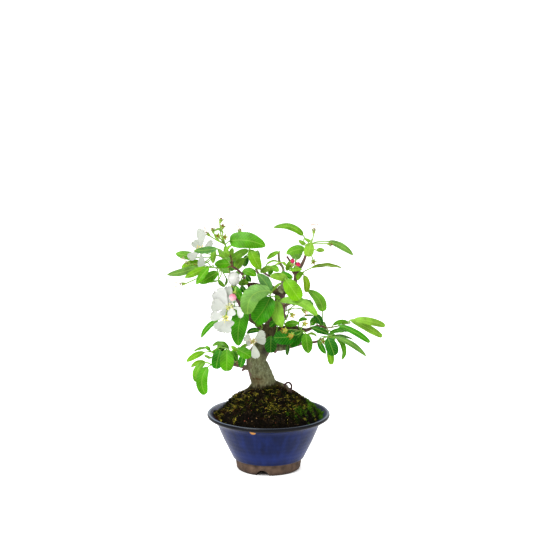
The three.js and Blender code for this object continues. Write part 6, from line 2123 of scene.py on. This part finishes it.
# Buds.
buds = {
    "bud_pink": {
        "shoot": "shoot_blossom_left",
        "head": 1,
        "radius": 4.2,
        "length": 8.8,
        "slot": "pink_bud",
        "low": "cb6880",
        "middle": "e298aa",
        "tip": "eac0be",
    },
    "bud_crimson_a": {
        "shoot": "shoot_buds",
        "head": 0,
        "radius": 2.5,
        "length": 6.8,
        "slot": "crimson_bud",
        "low": "a3163c",
        "middle": "d42462",
        "tip": "8e0f2e",
    },
    "bud_crimson_b": {
        "shoot": "shoot_buds",
        "head": 1,
        "radius": 2.7,
        "length": 5.8,
        "slot": "crimson_bud",
        "low": "a3163c",
        "middle": "d0205a",
        "tip": "8e0f2e",
    },
}


def budSkin():
    # Petals still wrapped tight: smooth and faintly waxy, deepest in colour where they are youngest.
    material, tree, where = newMaterial("wrappedBudPetal")
    colour, _ = mottled(tree, where, 2.0, 3.0, 0.82, 1.1)
    skin = addNode(
        tree, "BsdfPrincipled",
        {"Roughness": 0.42, "IOR": 1.42, "Sheen Weight": 0.2},
        {"Base Color": colour}
    )
    addNode(tree, "OutputMaterial", None, {"Surface": skin})
    return material


budMaterial = budSkin()


def makeBud(name, bud):
    head = plans[bud["shoot"]]["heads"][bud["head"]]
    aim = head["aim"]
    low = 0.35 - cup["throat"]
    rings = []
    tones = []
    stops = [toneOf(bud[key]) for key in ("low", "middle", "tip")]
    around = 2 * np.pi * np.arange(40) / 40
    for i in range(1, 40):
        share = i / 40
        lap = (5 * around / (2 * np.pi) + 1.6 * share) % 1.0  # each petal's edge lies over the next
        radius = bud["radius"] * math.sin(math.pi * share**0.9) ** 0.75 * (0.985 + 0.075 * lap)
        circle = circleRound(aim, around) * radius[:, None]
        rings.append(head["centre"] + aim * (low + bud["length"] * share) + circle)
        if share < 0.5:
            mix = stops[0] * (1 - share * 2) + stops[1] * share * 2
        else:
            mix = stops[1] * (2 - share * 2) + stops[2] * (share * 2 - 1)
        # each petal is painted darker where it tucks under its neighbour's overlapping edge, as shade
        tones.append(mix[None] * (0.86 + 0.2 * lap[:, None]))
    piece = Growth(name + "_wrapped")
    piece.skin(rings, 0, tones)
    made = piece.build([budMaterial], 60)
    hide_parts(name)


for name, bud in buds.items():
    makeBud(name, bud)
print("blossom and buds are out")


# The table it stands on.
table = {
    "side": 80.0,
    "glow": 0.45,
    "potShadow": (36.0, 39.5),  # mm from the pot's axis, where the glow starts and where it is full
    "shade": "f7f7f7",
    "white": "fbfbfb",
}
floorMesh = bpy.data.meshes.new("lightTable")
side = table["side"] / 2
corners = [(-side, -side, 0), (side, -side, 0), (side, side, 0), (-side, side, 0)]
floorMesh.from_pydata(corners, [], [(0, 1, 2, 3)])
floor = bpy.data.objects.new("lightTable", floorMesh)
bpy.context.collection.objects.link(floor)


def opalAcrylic():
    # Opal acrylic lit from below: satin white that glows evenly, but cut off under the pot as a painted
    # shadow.
    material, tree, where = newMaterial("opalAcrylicSheet")
    haze = addNode(tree, "TexNoise", {"Scale": perMm(60.0), "Detail": 2.0}, {"Vector": where})
    shade = addNode(tree, "ValToRGB", {"stops": {0.3: table["shade"], 0.7: table["white"]}}, {0: haze})
    apart = addNode(
        tree, "VectorMath", {"operation": "DISTANCE", 1: Vector(potAxis * mm)}, {0: where}
    ).outputs["Value"]
    # a painted shadow: no glow under the pot, full glow a little past its foot
    start, full = table["potShadow"]
    glow = addNode(tree, "MapRange", {1: start * mm, 2: full * mm, 4: table["glow"]}, {0: apart})
    sheetWhite = addNode(
        tree, "BsdfPrincipled",
        {"Roughness": 0.7, "Emission Color": linear("ffffff")},
        {"Base Color": shade, "Emission Strength": glow}
    )
    addNode(tree, "OutputMaterial", None, {"Surface": sheetWhite})
    return material


floorMesh.materials.append(opalAcrylic())
